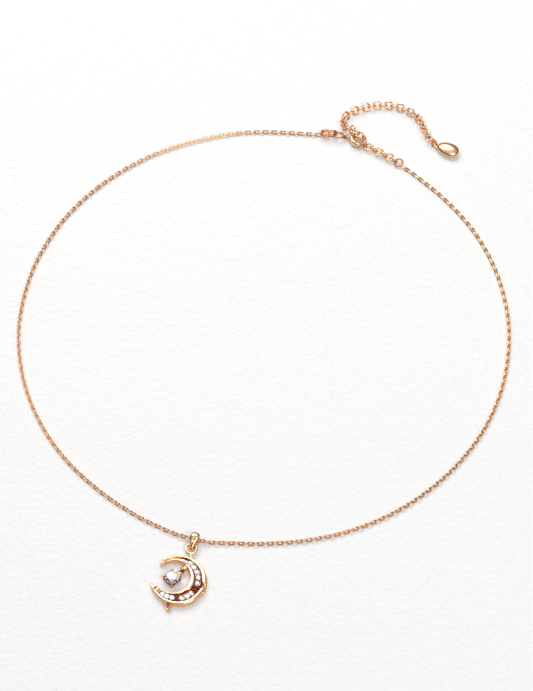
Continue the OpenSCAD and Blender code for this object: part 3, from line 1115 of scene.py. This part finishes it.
@dataclass
class Extender:
    """The heavier links that the clasp hooks into, and their free tail.

    Attributes:
        pitch: Distance from link to link.
        width: Outer width of a link.
        wire: Wire thickness.
        slack: Slack between two links.
        groups: Number of groups of links that bend as one.
        first_rolls: Rolls of the first links in degrees.
        late_links: Number of links at the tag that turn gradually.
        late_turn: How much further each of them turns, in degrees.
        side_rolls: Rolls of the links towards the chain's end in degrees.
        side_heights: Heights of those links' joints.
        hooked_at: Centre of the link in the clasp's hook.
        hooked_turn: Its direction in degrees.
        hook_reach: How far from that centre the first of the side links starts.
        side_room: How far short of the small ring's wire the last of them ends.
        side_ring: Outer diameter of the small ring that the side links end in.
        side_ring_at: Its centre.
    """

    pitch: float = 1.6
    width: float = 2.45
    wire: float = 0.45
    slack: float = 0.12
    groups: int = 8
    first_rolls: tuple[float, ...] = (20, -65, 35, -50)
    late_links: int = 8
    late_turn: float = 4.0
    side_rolls: tuple[float, ...] = (20, -70, 20, -70, 20, -65)
    side_heights: tuple[float, ...] = (1.1, 1.2, 1.2, 1.2, 1.2, 1.18, 1.12)
    hooked_at: tuple[float, float, float] = (27.2704, 62.9248, 1.225)
    hooked_turn: float = -46.0
    hook_reach: float = 0.83
    side_room: float = 0.1
    side_ring: float = 2.6
    side_ring_at: tuple[float, float] = (36.4357, 56.7014)

    def _links(
        self, name: str, spans: Sequence[tuple[Vector, Vector, float]], body: str
    ) -> bpy.types.Object:
        """Makes a group of links in place of a CAD node.

        Args:
            name: CAD node that they replace.
            spans: Start, end and roll of each link, in metres and degrees.
            body: CAD body that they ride on.

        Returns:
            The links.
        """
        link = oval_link(self.pitch + 2 * self.wire + self.slack, self.width, self.wire, 32, 12)
        made = copy_at(link, [between(*span) for span in spans], name + "_wire")
        return finish_piece(made, Finish.EXTENDER, body, name)

    def _side(self) -> None:
        """Makes the link in the hook and the links from there to the small ring."""
        way = heading(math.radians(self.hooked_turn)) * MM
        hooked = Vector(self.hooked_at) * MM
        self._links("hooked_link", [(hooked - way, hooked + way, 90)], "chain")
        start = hooked + self.hook_reach * way
        ring = Vector((*self.side_ring_at, 0)) * MM
        inward = (ring - Vector((start.x, start.y, 0))).normalized()
        end = ring - inward * ((self.side_ring - self.wire) / 2 - self.wire + self.side_room) * MM
        points = []
        for k, height in enumerate(self.side_heights):
            spot = start.lerp(end, k / (len(self.side_heights) - 1))
            points.append(Vector((spot.x, spot.y, height * MM)))
        self._links("side_links", list(zip(points, points[1:], self.side_rolls)), "chain")

    def _roll(self, k: int, count: int) -> float:
        """Roll of one of the tail's links.

        Args:
            k: Number of the link, from 0 at the hook.
            count: Number of links in the tail.

        Returns:
            The roll in degrees.
        """
        if k < len(self.first_rolls):
            return self.first_rolls[k]
        late = max(0, k + self.late_links + 1 - count)
        return (-45 if k % 2 else 45) + self.late_turn * late

    def build(self) -> None:
        """Makes the hooked link, the side links and the tail's groups."""
        self._side()
        line = Path(curve(TAIL_ROUTE, 8))
        step = self.pitch * MM
        count = math.floor(line.length / step)
        for group in range(self.groups):
            first, last = (math.floor(g * count / self.groups + 0.5) for g in (group, group + 1))
            spans = [
                (line.at(k * step), line.at((k + 1) * step), self._roll(k, count))
                for k in range(first, last)
            ]
            self._links(f"tail_links_{group + 1}", spans, f"tail_{group + 1}")


@dataclass
class Tag:
    """Polished drop at the end of the extender.

    Attributes:
        eye_at: Centre of its eye.
        eye: Outer diameter of the eye.
        eye_wire: Wire thickness of the eye.
        turn: Direction of the drop in degrees.
        length: Length.
        width: Width.
        height: Height.
    """

    eye_at: tuple[float, float] = (46.8357, 62.4323)
    eye: float = 1.5
    eye_wire: float = 0.4
    turn: float = -25.0
    length: float = 6.2
    width: float = 4.5
    height: float = 2.4

    def build(self) -> bpy.types.Object:
        """Makes the drop and its eye.

        Returns:
            The tag.
        """
        start = self.eye / 2 - self.eye_wire
        rings = []
        for i in range(1, 36):
            share = i / 36
            slide = (1 - math.cos(math.pi * share)) / 2
            swell = math.sin(math.pi * share) ** 0.92 * (0.86 + 0.20 * slide)
            half = min(1.0, swell) * self.width / 2
            rise = math.sin(math.pi * share) ** 0.8 * self.height / 2
            rings.append([
                Vector((start + slide * self.length, half * math.cos(t),
                        rise * math.sin(t) * (1.0 if math.sin(t) > 0 else 0.8)))
                for t in turns(32)
            ])
        drop = lay_rings("tag_drop", rings)
        made = join("tag_drop", [drop, torus(self.eye, self.eye_wire, 40, 14)])
        made.data.transform(placed((*self.eye_at, self.height / 2), self.turn))
        return finish_piece(made, Finish.TAG, "tag", "tag")


# ---- Bail -----------------------------------------------------------------------------------------


@dataclass
class Bail:
    """Strap folded over the chain, split in two towards its foot.

    Attributes:
        at: Centre of the wide loop.
        turn: Direction of its width in degrees.
        top_r: Outer radius round the chain.
        foot_r: Outer radius at the foot.
        reach: Distance between the two centres.
        width: Width over the chain.
        foot: Width at the foot.
        back: Width at the far end.
        thick: Thickness.
        crown: Rise of the strap's middle over its edges.
        slit_from: Where the slit starts, from the chain's axis.
        slit_w: Widest part of the slit.
        lap: How far the halves run into each other where there is no slit.
    """

    at: tuple[float, float, float] = (-16.85, -58.75, 1.4)
    turn: float = -19.0
    top_r: float = 1.4
    foot_r: float = 0.7
    reach: float = 2.76
    width: float = 2.3
    foot: float = 0.95
    back: float = 0.9
    thick: float = 0.3
    crown: float = 0.25
    slit_from: float = -0.2
    slit_w: float = 0.36
    lap: float = 0.03

    def _outline(self) -> list[tuple[float, float, float, float]]:
        """Side view of the strap's middle surface.

        Returns:
            Points as y, z and the outward direction's y and z.
        """
        def bend(y: float, radius: float, start: float, sweep: float, count: int) -> list[tuple]:
            """Points of a bend round y, from an angle start over an angle sweep."""
            angles = (start + sweep * k / count for k in range(count + 1))
            return [(y + radius * math.cos(t), radius * math.sin(t), math.cos(t), math.sin(t))
                    for t in angles]

        def run(a: tuple, b: tuple) -> list[tuple]:
            """Points of the straight between two bends' ends."""
            return [tuple(p + (q - p) * k / 8 for p, q in zip(a, b)) for k in range(1, 8)]

        lean = math.asin((self.top_r - self.foot_r) / self.reach)
        top = bend(0.0, self.top_r, -math.pi / 2 - lean, math.pi + 2 * lean, 32)
        foot = bend(-self.reach, self.foot_r, math.pi / 2 + lean, math.pi - 2 * lean, 12)
        return [*top, *run(top[-1], foot[0]), *foot, *run(foot[-1], top[0])]

    def _width_at(self, y: float) -> float:
        """Width of the strap.

        Args:
            y: Place along the bail, from the chain's axis.

        Returns:
            The width there.
        """
        if y > 0:
            return self.width - (self.width - self.back) * (y / self.top_r) ** 2.5
        share = min(1.0, -y / (self.reach + self.foot_r * 0.5))
        return self.width + (self.foot - self.width) * share

    def build(self) -> bpy.types.Object:
        """Makes the two halves of the strap.

        Returns:
            The bail.
        """
        halves = []
        for side in (-1, 1):
            rings = []
            for y, z, out_y, out_z in self._outline():
                wide = self._width_at(y)
                whole = y > self.slit_from or out_z < 0.2
                slit = 0.0 if whole else min(self.slit_w, (self.slit_from - y) * 0.25)
                inner, outer = side * (slit / 2 - self.lap * (slit == 0)), side * wide / 2
                ring = []
                for t in turns(14):
                    deep = squared(math.sin(t), 0.7)
                    x = (inner + outer) / 2 + (outer - inner) / 2 * squared(math.cos(t), 0.6)
                    rise = self.crown * max(0.0, out_z) * (1 - (2 * x / wide) ** 2)
                    off = self.thick / 2 * (deep - 1) + rise
                    ring.append(Vector((x, y + out_y * off, z + out_z * off)))
                rings.append(ring)
            halves.append(lay_rings("bail_half", rings, closed=True))
        made = join("bail_strap", halves)
        made.data.transform(placed(self.at, self.turn))
        return finish_piece(made, Finish.BAIL, "bail", "bail", 70)


# ---- Crescent -------------------------------------------------------------------------------------


def ramp(points: Sequence[tuple[float, float]], where: float) -> float:
    """Reads a value off a list of angle and value pairs, eased between them.

    Args:
        points: Pairs in order of falling angle.
        where: Angle.

    Returns:
        The value.
    """
    if where >= points[0][0]:
        return points[0][1]
    for (high, first), (low, second) in zip(points, points[1:]):
        if where >= low:
            share = (high - where) / (high - low)
            return first + (second - first) * share * share * (3 - 2 * share)
    return points[-1][1]


def profile(*points: tuple[float, float]) -> Callable[[float], float]:
    """Makes a size that changes along the crescent.

    Args:
        *points: Angle and value pairs in order of falling angle; one pair gives a constant.

    Returns:
        The size as a function of the angle in degrees.
    """
    return lambda angle: ramp(points, angle)


@dataclass
class Crescent:
    """The crescent with its rims, channel, beads, forked tail, loop and neck.

    Attributes:
        at: Centre of its outer circle.
        radius: Radius of the outer circle.
        open_at: Centre of the open middle from the outer circle's centre.
        open_r: Radius of the open middle.
        floor: Height of the channel floor.
        loop_at: Centre of the loop.
        loop: Outer diameter of the loop.
        loop_wire: Its wire thickness.
        neck: Width of the neck.
        tip_high: Angle of the upper horn's tip in degrees.
        tip_low: Angle of the lower horn's tip in degrees.
        stone_angles: Angles of the channel stones in degrees.
        stone: Diameter of a channel stone.
        separators: First and last angle of each bar across the channel, painted dark as shade, in degrees.
        seat_top: Height of those bars and of the beads' middles.
        bead: Diameter of a bead.
        bead_off: Distance of a bead from the channel's middle line.
    """

    at: tuple[float, float] = (-20.6774, -70.4008)
    radius: float = 6.7
    open_at: tuple[float, float] = (-1.5, 1.0)
    open_r: float = 4.35
    floor: float = 1.1
    loop_at: tuple[float, float, float] = (-17.8036, -61.5559, 1.1)
    loop: float = 3.2
    loop_wire: float = 0.6
    neck: float = 0.7
    tip_high: float = 136.0
    tip_low: float = -171.0
    stone_angles: tuple[float, ...] = (60, 45, 27.5, 9.5, -10, -49, -64, -81, -109, -124, -137)
    stone: float = 1.42
    separators: tuple[tuple[float, float], ...] = ((-19, -24), (-30, -35), (-88, -93), (-96, -100), (70, 65))
    seat_top: float = 1.36
    bead: float = 0.42
    bead_off: float = 0.52

    def inner_r(self, angle: float) -> float:
        """Distance from the centre to the open middle's edge.

        Args:
            angle: Direction in degrees.

        Returns:
            The distance.
        """
        way = Vector((math.cos(math.radians(angle)), math.sin(math.radians(angle))))
        off = Vector(self.open_at)
        along = off.dot(way)
        return along + math.sqrt(along * along - off.dot(off) + self.open_r ** 2)

    def spot(self, angle: float, out: float, height: float) -> Vector:
        """A point given round the crescent's centre.

        Args:
            angle: Direction in degrees.
            out: Distance from the centre.
            height: Height above the surface.

        Returns:
            The point in millimetres.
        """
        turn = math.radians(angle)
        return Vector((self.at[0] + out * math.cos(turn), self.at[1] + out * math.sin(turn), height))

    def stone_spots(self) -> list[Vector]:
        """Centres of the channel stones, at the height of their seats."""
        return [
            self.spot(a, (self.inner_r(a) + self.radius) / 2 - (0.25 if a < -100 else 0.0), 0.0)
            for a in self.stone_angles
        ]

    def _strip(
        self, start: float, end: float, edges: Callable[[float], tuple[float, float]],
        low: Callable[[float], float], high: Callable[[float], float], dome: float = 0.3,
        square: float = 0.6,
    ) -> bpy.types.Object:
        """Makes a bar with a rounded top that follows the crescent.

        Args:
            start: First angle in degrees.
            end: Last angle in degrees.
            edges: Inner and outer distance from the centre at an angle.
            low: Height of the underside at an angle.
            high: Height of the top at an angle.
            dome: Height of the rounded part of the top.
            square: Squareness of the top: 1 is an ellipse and less is squarer.

        Returns:
            The bar.
        """
        count = max(6, round(abs(end - start) / 2.2))
        rings = []
        for i in range(count + 1):
            angle = start + (end - start) * i / count
            inner, outer = edges(angle)
            top, bottom = high(angle), low(angle)
            cap = min(dome, (top - bottom) * 0.6)
            middle, half = (inner + outer) / 2, (outer - inner) / 2
            ring = [self.spot(angle, inner + 0.06 * half, bottom)]
            for k in range(13):
                turn = math.pi * (1 - k / 12)
                out = middle + half * squared(math.cos(turn), square)
                ring.append(self.spot(angle, out, top - cap + cap * math.sin(turn) ** square))
            ring.append(self.spot(angle, outer - 0.06 * half, bottom))
            rings.append(ring)
        return lay_rings("bar", rings)

    def _taper(self, angle: float) -> float:
        """Share of the full width near the two horn tips."""
        return ramp([(self.tip_high, 0.12), (self.tip_high - 14, 1.0), (-150, 1.0),
                     (self.tip_low, 0.35)], angle)

    def _edges(self, inset: float, outset: float) -> Callable[[float], tuple[float, float]]:
        """Edges of a layer that fills the crescent and narrows at the tips.

        Args:
            inset: Distance from the inner edge.
            outset: Distance from the outer edge.

        Returns:
            The inner and outer distance from the centre, as a function of the angle.
        """
        def edges(a: float) -> tuple[float, float]:
            """The two distances at an angle in degrees."""
            inner, outer = self.inner_r(a) + inset, self.radius - outset
            middle, half = (inner + outer) / 2, (outer - inner) / 2 * self._taper(a)
            return middle - half, middle + half
        return edges

    def _base(self) -> bpy.types.Object:
        """Low body under the rims."""
        return self._strip(
            self.tip_high, self.tip_low, self._edges(0.0, 0.08), profile((0, 0.0)),
            lambda a: self.floor * (0.7 + 0.2 * self._taper(a)), 0.12, 0.5,
        )

    def _floor(self) -> bpy.types.Object:
        """Layer in the channel over the low body, painted near-black as the channel's shade."""
        return self._strip(
            84, self.tip_low + 14, self._edges(0.2, 0.3), profile((0, 0.5)), profile((0, self.floor)),
            0.1, 0.5,
        )

    def _rims(self) -> list[bpy.types.Object]:
        """The polished rims, the wide band on the upper horn and the outer layer.

        Returns:
            The bars.
        """
        r = self.radius
        low = profile((0, 0.3))
        upper = profile((136, 0.20), (100, 0.34), (74, 0.46), (50, 0.86), (0, 1.05), (-13, 0.7))
        middle = profile((-14, 6.22), (-38, 6.04), (-75, 6.10), (-107, 6.12), (-128, 6.22), (-171, 6.32))
        half = profile((-12, 0.2), (-24, 0.56), (-50, 0.56), (-105, 0.46), (-140, 0.42), (-171, 0.22))
        inner = profile(
            (72, 0.55), (40, 0.85), (20, 1.0), (-16, 1.2), (-34, 1.2), (-60, 0.6), (-150, 0.30)
        )
        band = profile((136, 0.30), (122, 0.38), (100, 0.58), (84, 0.62), (64, 0.70))
        swell = profile((34, -0.05), (18, 0.16), (0, 0.22), (-24, 0.26), (-36, -0.1))
        upper_rim = (
            134, -13, lambda a: (r - upper(a), r + 0.02), low,
            profile((134, 1.2), (112, 1.66), (60, 1.72), (-8, 1.7), (-13, 1.35)), 0.34, 0.75,
        )
        lower_rim = (
            -12, -170, lambda a: (middle(a) - half(a), middle(a) + half(a)), low,
            profile((-12, 1.2), (-22, 1.72), (-150, 1.68), (-170, 1.25)), 0.42, 0.85,
        )
        inner_rim = (
            76, -150, lambda a: (self.inner_r(a) - 0.02, self.inner_r(a) + inner(a)), low,
            profile((76, 1.3), (66, 1.62), (-135, 1.6), (-150, 1.25)), 0.3, 0.75,
        )
        upper_band = (
            135, 68, lambda a: (self.inner_r(a) - 0.01, r - band(a)), low,
            profile((135, 1.15), (116, 1.52), (80, 1.62), (68, 1.5)), 0.5, 0.8,
        )
        lower_band = (
            -146, -168, lambda a: (self.inner_r(a), r - 0.62), low,
            profile((-146, 1.3), (-156, 1.5), (-168, 1.2)), 0.4, 0.8,
        )
        outer_layer = (
            34, -36, lambda a: (r - 0.9, r + swell(a)), profile((0, 0.05)),
            profile((34, 0.9), (10, 1.15), (-26, 1.15), (-36, 0.9)), 0.3, 0.8,
        )
        bars = (upper_rim, lower_rim, inner_rim, upper_band, lower_band, outer_layer)
        return [self._strip(*bar) for bar in bars]

    def _separators(self) -> list[bpy.types.Object]:
        """The bars across the channel, painted dark as shade.

        Returns:
            The bars.
        """
        return [
            self._strip(
                start, end, lambda a: (self.inner_r(a) + 0.2, self.radius - 0.5), profile((0, 0.3)),
                profile((0, self.seat_top)), 0.22, 0.8,
            )
            for start, end in self.separators
        ]

    def _beads(self) -> list[bpy.types.Object]:
        """Pairs of small beads that hold the stones, between each two of them.

        Returns:
            The beads.
        """
        made = []
        for first, second in zip(self.stone_angles, self.stone_angles[1:]):
            if abs(first - second) > 20:
                continue
            angle = (first + second) / 2
            middle = (self.inner_r(angle) + self.radius) / 2
            for side in (-self.bead_off, self.bead_off):
                made.append(ball(self.spot(angle, middle + side, self.seat_top), self.bead, 0.9))
        return made

    def _tail(self) -> list[bpy.types.Object]:
        """The forked tail below the crescent and the curl on the lower horn.

        Returns:
            The prongs and the curl.
        """
        def prong(line: Sequence[tuple[float, float, float, float]]) -> bpy.types.Object:
            """Makes one prong from its line of x, y, half width and top."""
            rings = []
            for i, (x, y, half, top) in enumerate(line):
                before, after = line[max(0, i - 1)], line[min(len(line) - 1, i + 1)]
                way = Vector((after[0] - before[0], after[1] - before[1])).normalized()
                ring = []
                for t in turns(14):
                    side, up = half * math.cos(t), math.sin(t)
                    height = 0.55 + (top - 0.55 if up > 0 else 0.45) * up
                    spot = Vector((*self.at, 0)) + Vector((x - way.y * side, y + way.x * side, height))
                    ring.append(spot)
                rings.append(ring)
            return lay_rings("prong", rings)
        return [
            prong([(-1.3, -5.9, 0.45, 1.5), (-1.75, -6.5, 0.46, 1.5), (-2.1, -7.1, 0.40, 1.42),
                   (-2.3, -7.7, 0.28, 1.3), (-2.36, -7.95, 0.12, 1.05), (-2.38, -8.0, 0.05, 0.9)]),
            prong([(-2.9, -5.5, 0.40, 1.5), (-2.98, -6.1, 0.40, 1.45), (-2.9, -6.8, 0.34, 1.35),
                   (-2.72, -7.3, 0.22, 1.2), (-2.6, -7.6, 0.08, 1.0)]),
            prong([(-5.95, -2.2, 0.30, 1.3), (-6.3, -1.65, 0.28, 1.3), (-6.55, -1.1, 0.25, 1.2),
                   (-6.6, -0.75, 0.2, 1.1), (-6.45, -0.5, 0.12, 1.0), (-6.3, -0.45, 0.05, 0.9)]),
        ]

    def _hanger(self) -> list[bpy.types.Object]:
        """The loop and the neck below it.

        Returns:
            The two shapes.
        """
        ring = torus(self.loop, self.loop_wire, 64, 20)
        ring.data.transform(placed(self.loop_at))
        head = self.loop_at[1] - self.loop / 2 + self.loop_wire / 2
        foot = self.at[1] + math.sqrt(self.radius ** 2 - (self.loop_at[0] - self.at[0]) ** 2) - 0.4
        rings = []
        for i in range(9):
            share = i / 8
            y = head + (foot - head) * share
            half = self.neck / 2 * (1.25 - 0.5 * math.sin(math.pi * share))
            rings.append([
                Vector((self.loop_at[0] + half * math.cos(t), y, self.loop_at[2] + 0.32 * math.sin(t)))
                for t in turns(16)
            ])
        return [ring, lay_rings("neck", rings)]

    def build(self) -> bpy.types.Object:
        """Makes the whole crescent.

        Returns:
            The crescent.
        """
        # Painted shade: the channel floor and its bars take the near-black channel colour for the shade
        # between the stones
        deep = [self._floor(), *self._separators()]
        for part in deep:
            WARDROBE.dress(part, Finish.CHANNEL)
        parts = [self._base(), *self._rims(), *self._beads(), *self._tail(), *self._hanger()]
        for part in parts:
            WARDROBE.dress(part, Finish.MOON)
        made = join("crescent_gold", [*deep, *parts])
        return finish_piece(made, None, "pendant", "crescent", 50)


# ---- Stones and setting ---------------------------------------------------------------------------


def brilliant(size: float) -> bpy.types.Object:
    """Makes a round brilliant-cut stone about the origin, with its girdle at height 0.

    Args:
        size: Diameter in millimetres.

    Returns:
        The stone.
    """
    levels = [
        (-0.43, 0.01, 0.0, 8), (-0.10, 0.40, 0.5, 8), (0.0, 0.5, 0.0, 16), (0.03, 0.5, 0.0, 16),
        (0.11, 0.405, 0.5, 8), (0.165, 0.285, 0.0, 8),
    ]
    rings = []
    for height, radius, shift, sides in levels:
        ring = []
        for k in range(16):
            place = (k // 2 + shift) if sides == 8 else k / 2
            turn = 2 * math.pi * place / 8
            out = radius * size
            ring.append(Vector((out * math.cos(turn), out * math.sin(turn), height * size)))
        rings.append(ring)
    made = lay_rings("brilliant", rings)
    pick(made)
    bpy.ops.object.mode_set(mode="EDIT")
    bpy.ops.mesh.select_all(action="SELECT")
    bpy.ops.mesh.remove_doubles(threshold=0.002 * MM)
    bpy.ops.mesh.convex_hull()
    bpy.ops.mesh.select_all(action="SELECT")
    bpy.ops.mesh.dissolve_limited(angle_limit=math.radians(1.0))
    bpy.ops.mesh.normals_make_consistent(inside=False)
    bpy.ops.object.mode_set(mode="OBJECT")
    return settle(made, None)


@dataclass
class Stones:
    """The channel stones and the centre stone with its four-claw setting.

    Attributes:
        crescent: The crescent that carries the channel stones.
        seat: Height of the channel stones' culets.
        centre: Centre of the large stone on the surface.
        size: Its diameter.
        girdle: Height of its girdle.
        claw: Wire thickness of the claws.
        gallery: Low and high of the gallery.
        gallery_wall: Wall thickness of the gallery.
        star_at: Centre of the small star.
    """

    crescent: Crescent = field(default_factory=Crescent)
    seat: float = 0.7
    centre: tuple[float, float] = (-22.2774, -69.9008)
    size: float = 3.6
    girdle: float = 2.4
    claw: float = 0.55
    gallery: tuple[float, float] = (0.5, 0.95)
    gallery_wall: float = 0.35
    star_at: tuple[float, float] = (-19.8, -67.6)

    def _channel(self) -> None:
        """Makes the three groups of channel stones."""
        spots = self.crescent.stone_spots()
        groups = {"stones_right": spots[:5], "stones_lower": spots[5:8], "stones_left": spots[8:]}
        for name, centres in groups.items():
            height = self.seat + 0.43 * self.crescent.stone + 0.08
            places = [
                placed((c.x, c.y, height), math.degrees(0.37 * i)) for i, c in enumerate(centres)
            ]
            made = copy_at(brilliant(self.crescent.stone), places, name + "_cut")
            finish_piece(made, Finish.SMALL_STONE, "pendant", name, None)

    def _basket(self) -> bpy.types.Object:
        """Makes the flared collar under the centre stone.

        Returns:
            The collar.
        """
        rings = []
        for turn in turns(40):
            way = heading(turn)
            dip = 0.16 * math.cos(4 * turn)
            rings.append([
                way * 1.25 + Vector((0, 0, 0.85)), way * 1.52 + Vector((0, 0, 1.35)),
                way * (self.size / 2 - 0.02) + Vector((0, 0, self.girdle - 0.22 + dip)),
                way * (self.size / 2 - 0.22) + Vector((0, 0, self.girdle - 0.34 + dip)),
                way * 1.22 + Vector((0, 0, 1.3)), way * 1.0 + Vector((0, 0, 0.85)),
            ])
        return lay_rings("collar", rings, closed=True)

    def _star(self) -> list[bpy.types.Object]:
        """Makes the small star on the bar between the setting and the crescent.

        Returns:
            The star and the bead in its middle.
        """
        centre = Vector(self.star_at) - Vector(self.centre)
        rings = []
        for out, height in ((0.9, 1.0), (1.15, 1.25), (1.15, 1.4), (0.12, 1.95)):
            ring = []
            for k in range(16):
                reach = out * (1.0 if k % 4 == 0 else 0.62 if k % 4 == 2 else 0.40)
                spot = heading(math.pi * k / 8 + 0.35) * reach
                ring.append(Vector((centre.x + spot.x, centre.y + spot.y, height)))
            rings.append(ring)
        return [lay_rings("star", rings), ball((centre.x, centre.y, 1.85), 0.5, 0.8)]

    def _claws(self) -> bpy.types.Object:
        """Makes the gallery and the four claws.

        Returns:
            The setting.
        """
        low, high = self.gallery
        corner = self.size / 2 + 0.2
        rings = []
        inside = corner - self.gallery_wall * 1.41
        outline = ((corner, low), (corner - 0.08, high), (inside, high), (inside, low))
        for turn in turns(4):
            rings.append([heading(turn) * out + Vector((0, 0, height)) for out, height in outline])
        parts = [lay_rings("gallery", rings, closed=True), self._basket(), *self._star()]
        spread = self.size / 2 + self.claw / 2 + 0.02
        top = self.girdle + 0.55
        for turn in turns(4):
            way = heading(turn)
            side = Vector((-way.y, way.x, 0))
            path = [(spread - 0.25, low, 0.26), (spread - 0.1, 1.2, 0.27), (spread, 2.0, 0.275),
                    (spread - 0.01, self.girdle + 0.15, 0.275), (spread - 0.08, top - 0.1, 0.27),
                    (spread - 0.16, top + 0.1, 0.22), (spread - 0.2, top + 0.22, 0.10)]
            rings = [
                [way * (out + half * math.cos(t)) + side * half * math.sin(t) + Vector((0, 0, height))
                 for t in turns(12)]
                for out, height, half in path
            ]
            parts.append(lay_rings("claw", rings))
        made = join("setting_gold", parts)
        made.data.transform(placed((*self.centre, 0)))
        return finish_piece(made, Finish.SETTING, "pendant", "setting", 45)

    def build(self) -> None:
        """Makes the channel stones, the setting and the centre stone."""
        self._channel()
        self._claws()
        stone = brilliant(self.size)
        stone.name = "centre_stone_cut"
        stone.data.transform(placed((*self.centre, self.girdle), math.degrees(0.2)))
        finish_piece(stone, Finish.CENTRE_STONE, "pendant", "centre_stone", None)


# ---- Clasp ----------------------------------------------------------------------------------------


@dataclass
class Clasp:
    """Lobster clasp: a cast claw with an eye, and a lever on a rivet.

    Attributes:
        at: Centre of the eye on the surface.
        turn: Direction of the clasp in degrees.
        middle: Height of its middle plane.
        claw_at: Centre of the claw's curve in the clasp's own frame.
        claw_r: Mean radius of the claw.
        sweep: Angles at which the claw starts and at which the hook ends, in degrees.
        rivet_at: The rivet in the clasp's own frame.
        eye: Outer diameter of the eye.
        eye_wire: Its wire thickness.
        lever_h: Height of the lever.
        lever_tip: How far the lever reaches along the clasp.
    """

    at: tuple[float, float] = (22.0, 65.7)
    turn: float = -16.0
    middle: float = 1.0
    claw_at: tuple[float, float] = (3.9, -0.1)
    claw_r: float = 1.85
    sweep: tuple[float, float] = (132.0, 420.0)
    rivet_at: tuple[float, float] = (2.235, 0.677)
    eye: float = 1.9
    eye_wire: float = 0.5
    lever_h: float = 0.8
    lever_tip: float = 4.92

    def _place(self) -> Matrix:
        """Placement of the clasp's own frame, in metres."""
        return placed((*self.at, 0), self.turn)

    def _claw(self) -> bpy.types.Object:
        """The claw: thick at its back and thin at the hook's tip.

        Returns:
            The claw.
        """
        rings = []
        for i in range(61):
            angle = self.sweep[0] + (self.sweep[1] - self.sweep[0]) * i / 60
            wide = ramp([(-132, 0.36), (-150, 0.60), (-200, 0.64), (-262, 0.58), (-305, 0.40),
                         (-400, 0.33), (-420, 0.30)], -angle)
            tall = ramp([(-132, 0.6), (-150, 0.97), (-230, 1.0), (-285, 0.8), (-320, 0.42),
                         (-400, 0.34), (-420, 0.30)], -angle)
            if i == 60:
                wide, tall = wide * 0.6, tall * 0.6
            way = heading(math.radians(angle))
            centre = Vector((*self.claw_at, self.middle)) + way * self.claw_r
            rings.append([
                centre + way * wide * squared(math.cos(t), 0.75)
                + Vector((0, 0, tall * squared(math.sin(t), 0.75)))
                for t in turns(20)
            ])
        return lay_rings("claw_bar", rings)

    def _body(self) -> bpy.types.Object:
        """The claw with its eye, neck and the slot for the lever's root.

        Returns:
            The body.
        """
        eye = torus(self.eye, self.eye_wire, 40, 14)
        eye.data.transform(placed((0, 0, self.middle), 0, 90))
        start, end = self.eye / 2 - self.eye_wire / 2, self.claw_at[0] - self.claw_r
        rings = []
        for i in range(7):
            share = i / 6
            x = start + (end - start) * share
            half, tall = 0.26 + 0.24 * share, 0.34 + 0.36 * share
            rings.append([
                Vector((x, half * math.cos(t), self.middle + tall * math.sin(t))) for t in turns(16)
            ])
        claw = self._claw()
        deselect()
        bpy.ops.mesh.primitive_cube_add(
            size=1, location=Vector((self.rivet_at[0] + 0.95, self.rivet_at[1] - 0.12, self.middle)) * MM,
            rotation=(0, 0, math.radians(-10)), scale=Vector((3.1, 1.25, self.lever_h + 0.12)) * MM,
        )
        cutter = bpy.context.active_object
        pick(claw)
        cut = claw.modifiers.new("slot", "BOOLEAN")
        cut.operation = "DIFFERENCE"
        cut.solver = "EXACT"
        cut.object = cutter
        bpy.ops.object.modifier_apply(modifier=cut.name)
        bpy.data.objects.remove(cutter, do_unlink=True)
        made = join("clasp_body_cast", [claw, eye, lay_rings("clasp_neck", rings)])
        made.data.transform(self._place())
        return finish_piece(made, Finish.CLASP, "chain", "clasp_body", 50)

    def _lever(self) -> bpy.types.Object:
        """The lever with its round root and thumb knob.

        Returns:
            The lever.
        """
        rings = []
        count = 16
        for i in range(count + 1):
            share = i / count
            x = self.rivet_at[0] - 0.45 + (self.lever_tip - self.rivet_at[0] + 0.45) * share
            root = math.sqrt(max(0.0, 1 - ((x - self.rivet_at[0]) / 0.5) ** 2)) * 0.5
            knob = math.sqrt(max(0.0, 1 - ((x - self.rivet_at[0] - 1.0) / 0.5) ** 2)) * 0.72
            down, up = max(0.21, root), max(0.21, root, knob)
            if i in (0, count):
                down, up = 0.14, 0.14
            rings.append([
                Vector((
                    x, self.rivet_at[1] + (up if math.cos(t) > 0 else down) * squared(math.cos(t), 0.7),
                    self.middle + self.lever_h / 2 * squared(math.sin(t), 0.6),
                ))
                for t in turns(16)
            ])
        made = lay_rings("clasp_lever_cast", rings)
        made.data.transform(self._place())
        return finish_piece(made, Finish.CLASP, "lever", "clasp_lever", 50)

    def build(self) -> None:
        """Makes the body and the lever."""
        self._body()
        self._lever()


# ---- Building everything --------------------------------------------------------------------------


def plain(box: object) -> object:
    """Turns a box into plain nested lists of numbers.

    Args:
        box: Vectors, arrays, numbers or sequences of them.

    Returns:
        The same numbers as lists.
    """
    if isinstance(box, (int, float, str)) or box is None:
        return box
    if isinstance(box, dict):
        return {key: plain(value) for key, value in box.items()}
    try:
        return [plain(value) for value in box]
    except TypeError:
        return float(box)


def main() -> None:
    """Builds the necklace's looks, the studio and the camera, and logs the CAD and scene boxes."""
    logging.basicConfig(level=logging.INFO, format="%(name)s: %(message)s")
    FineChain().build()
    Camera().build()
    Studio().build()
    crescent = Crescent()
    Bail().build()
    crescent.build()
    Stones(crescent).build()
    Rings().build()
    Extender().build()
    Clasp().build()
    Tag().build()
    WARDROBE.dress_node("clasp_rivet", Finish.RIVET)
    WARDROBE.dress_node("clasp_spring", Finish.SPRING)
    WARDROBE.dress_node("setting_bar", Finish.RING)
    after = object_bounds()
    {"cad": plain(CAD_BOX), "scene": plain(after)}
    LOG.info("CAD box %s, scene box %s", plain(CAD_BOX), plain(after))


if __name__ == "__main__":
    main()
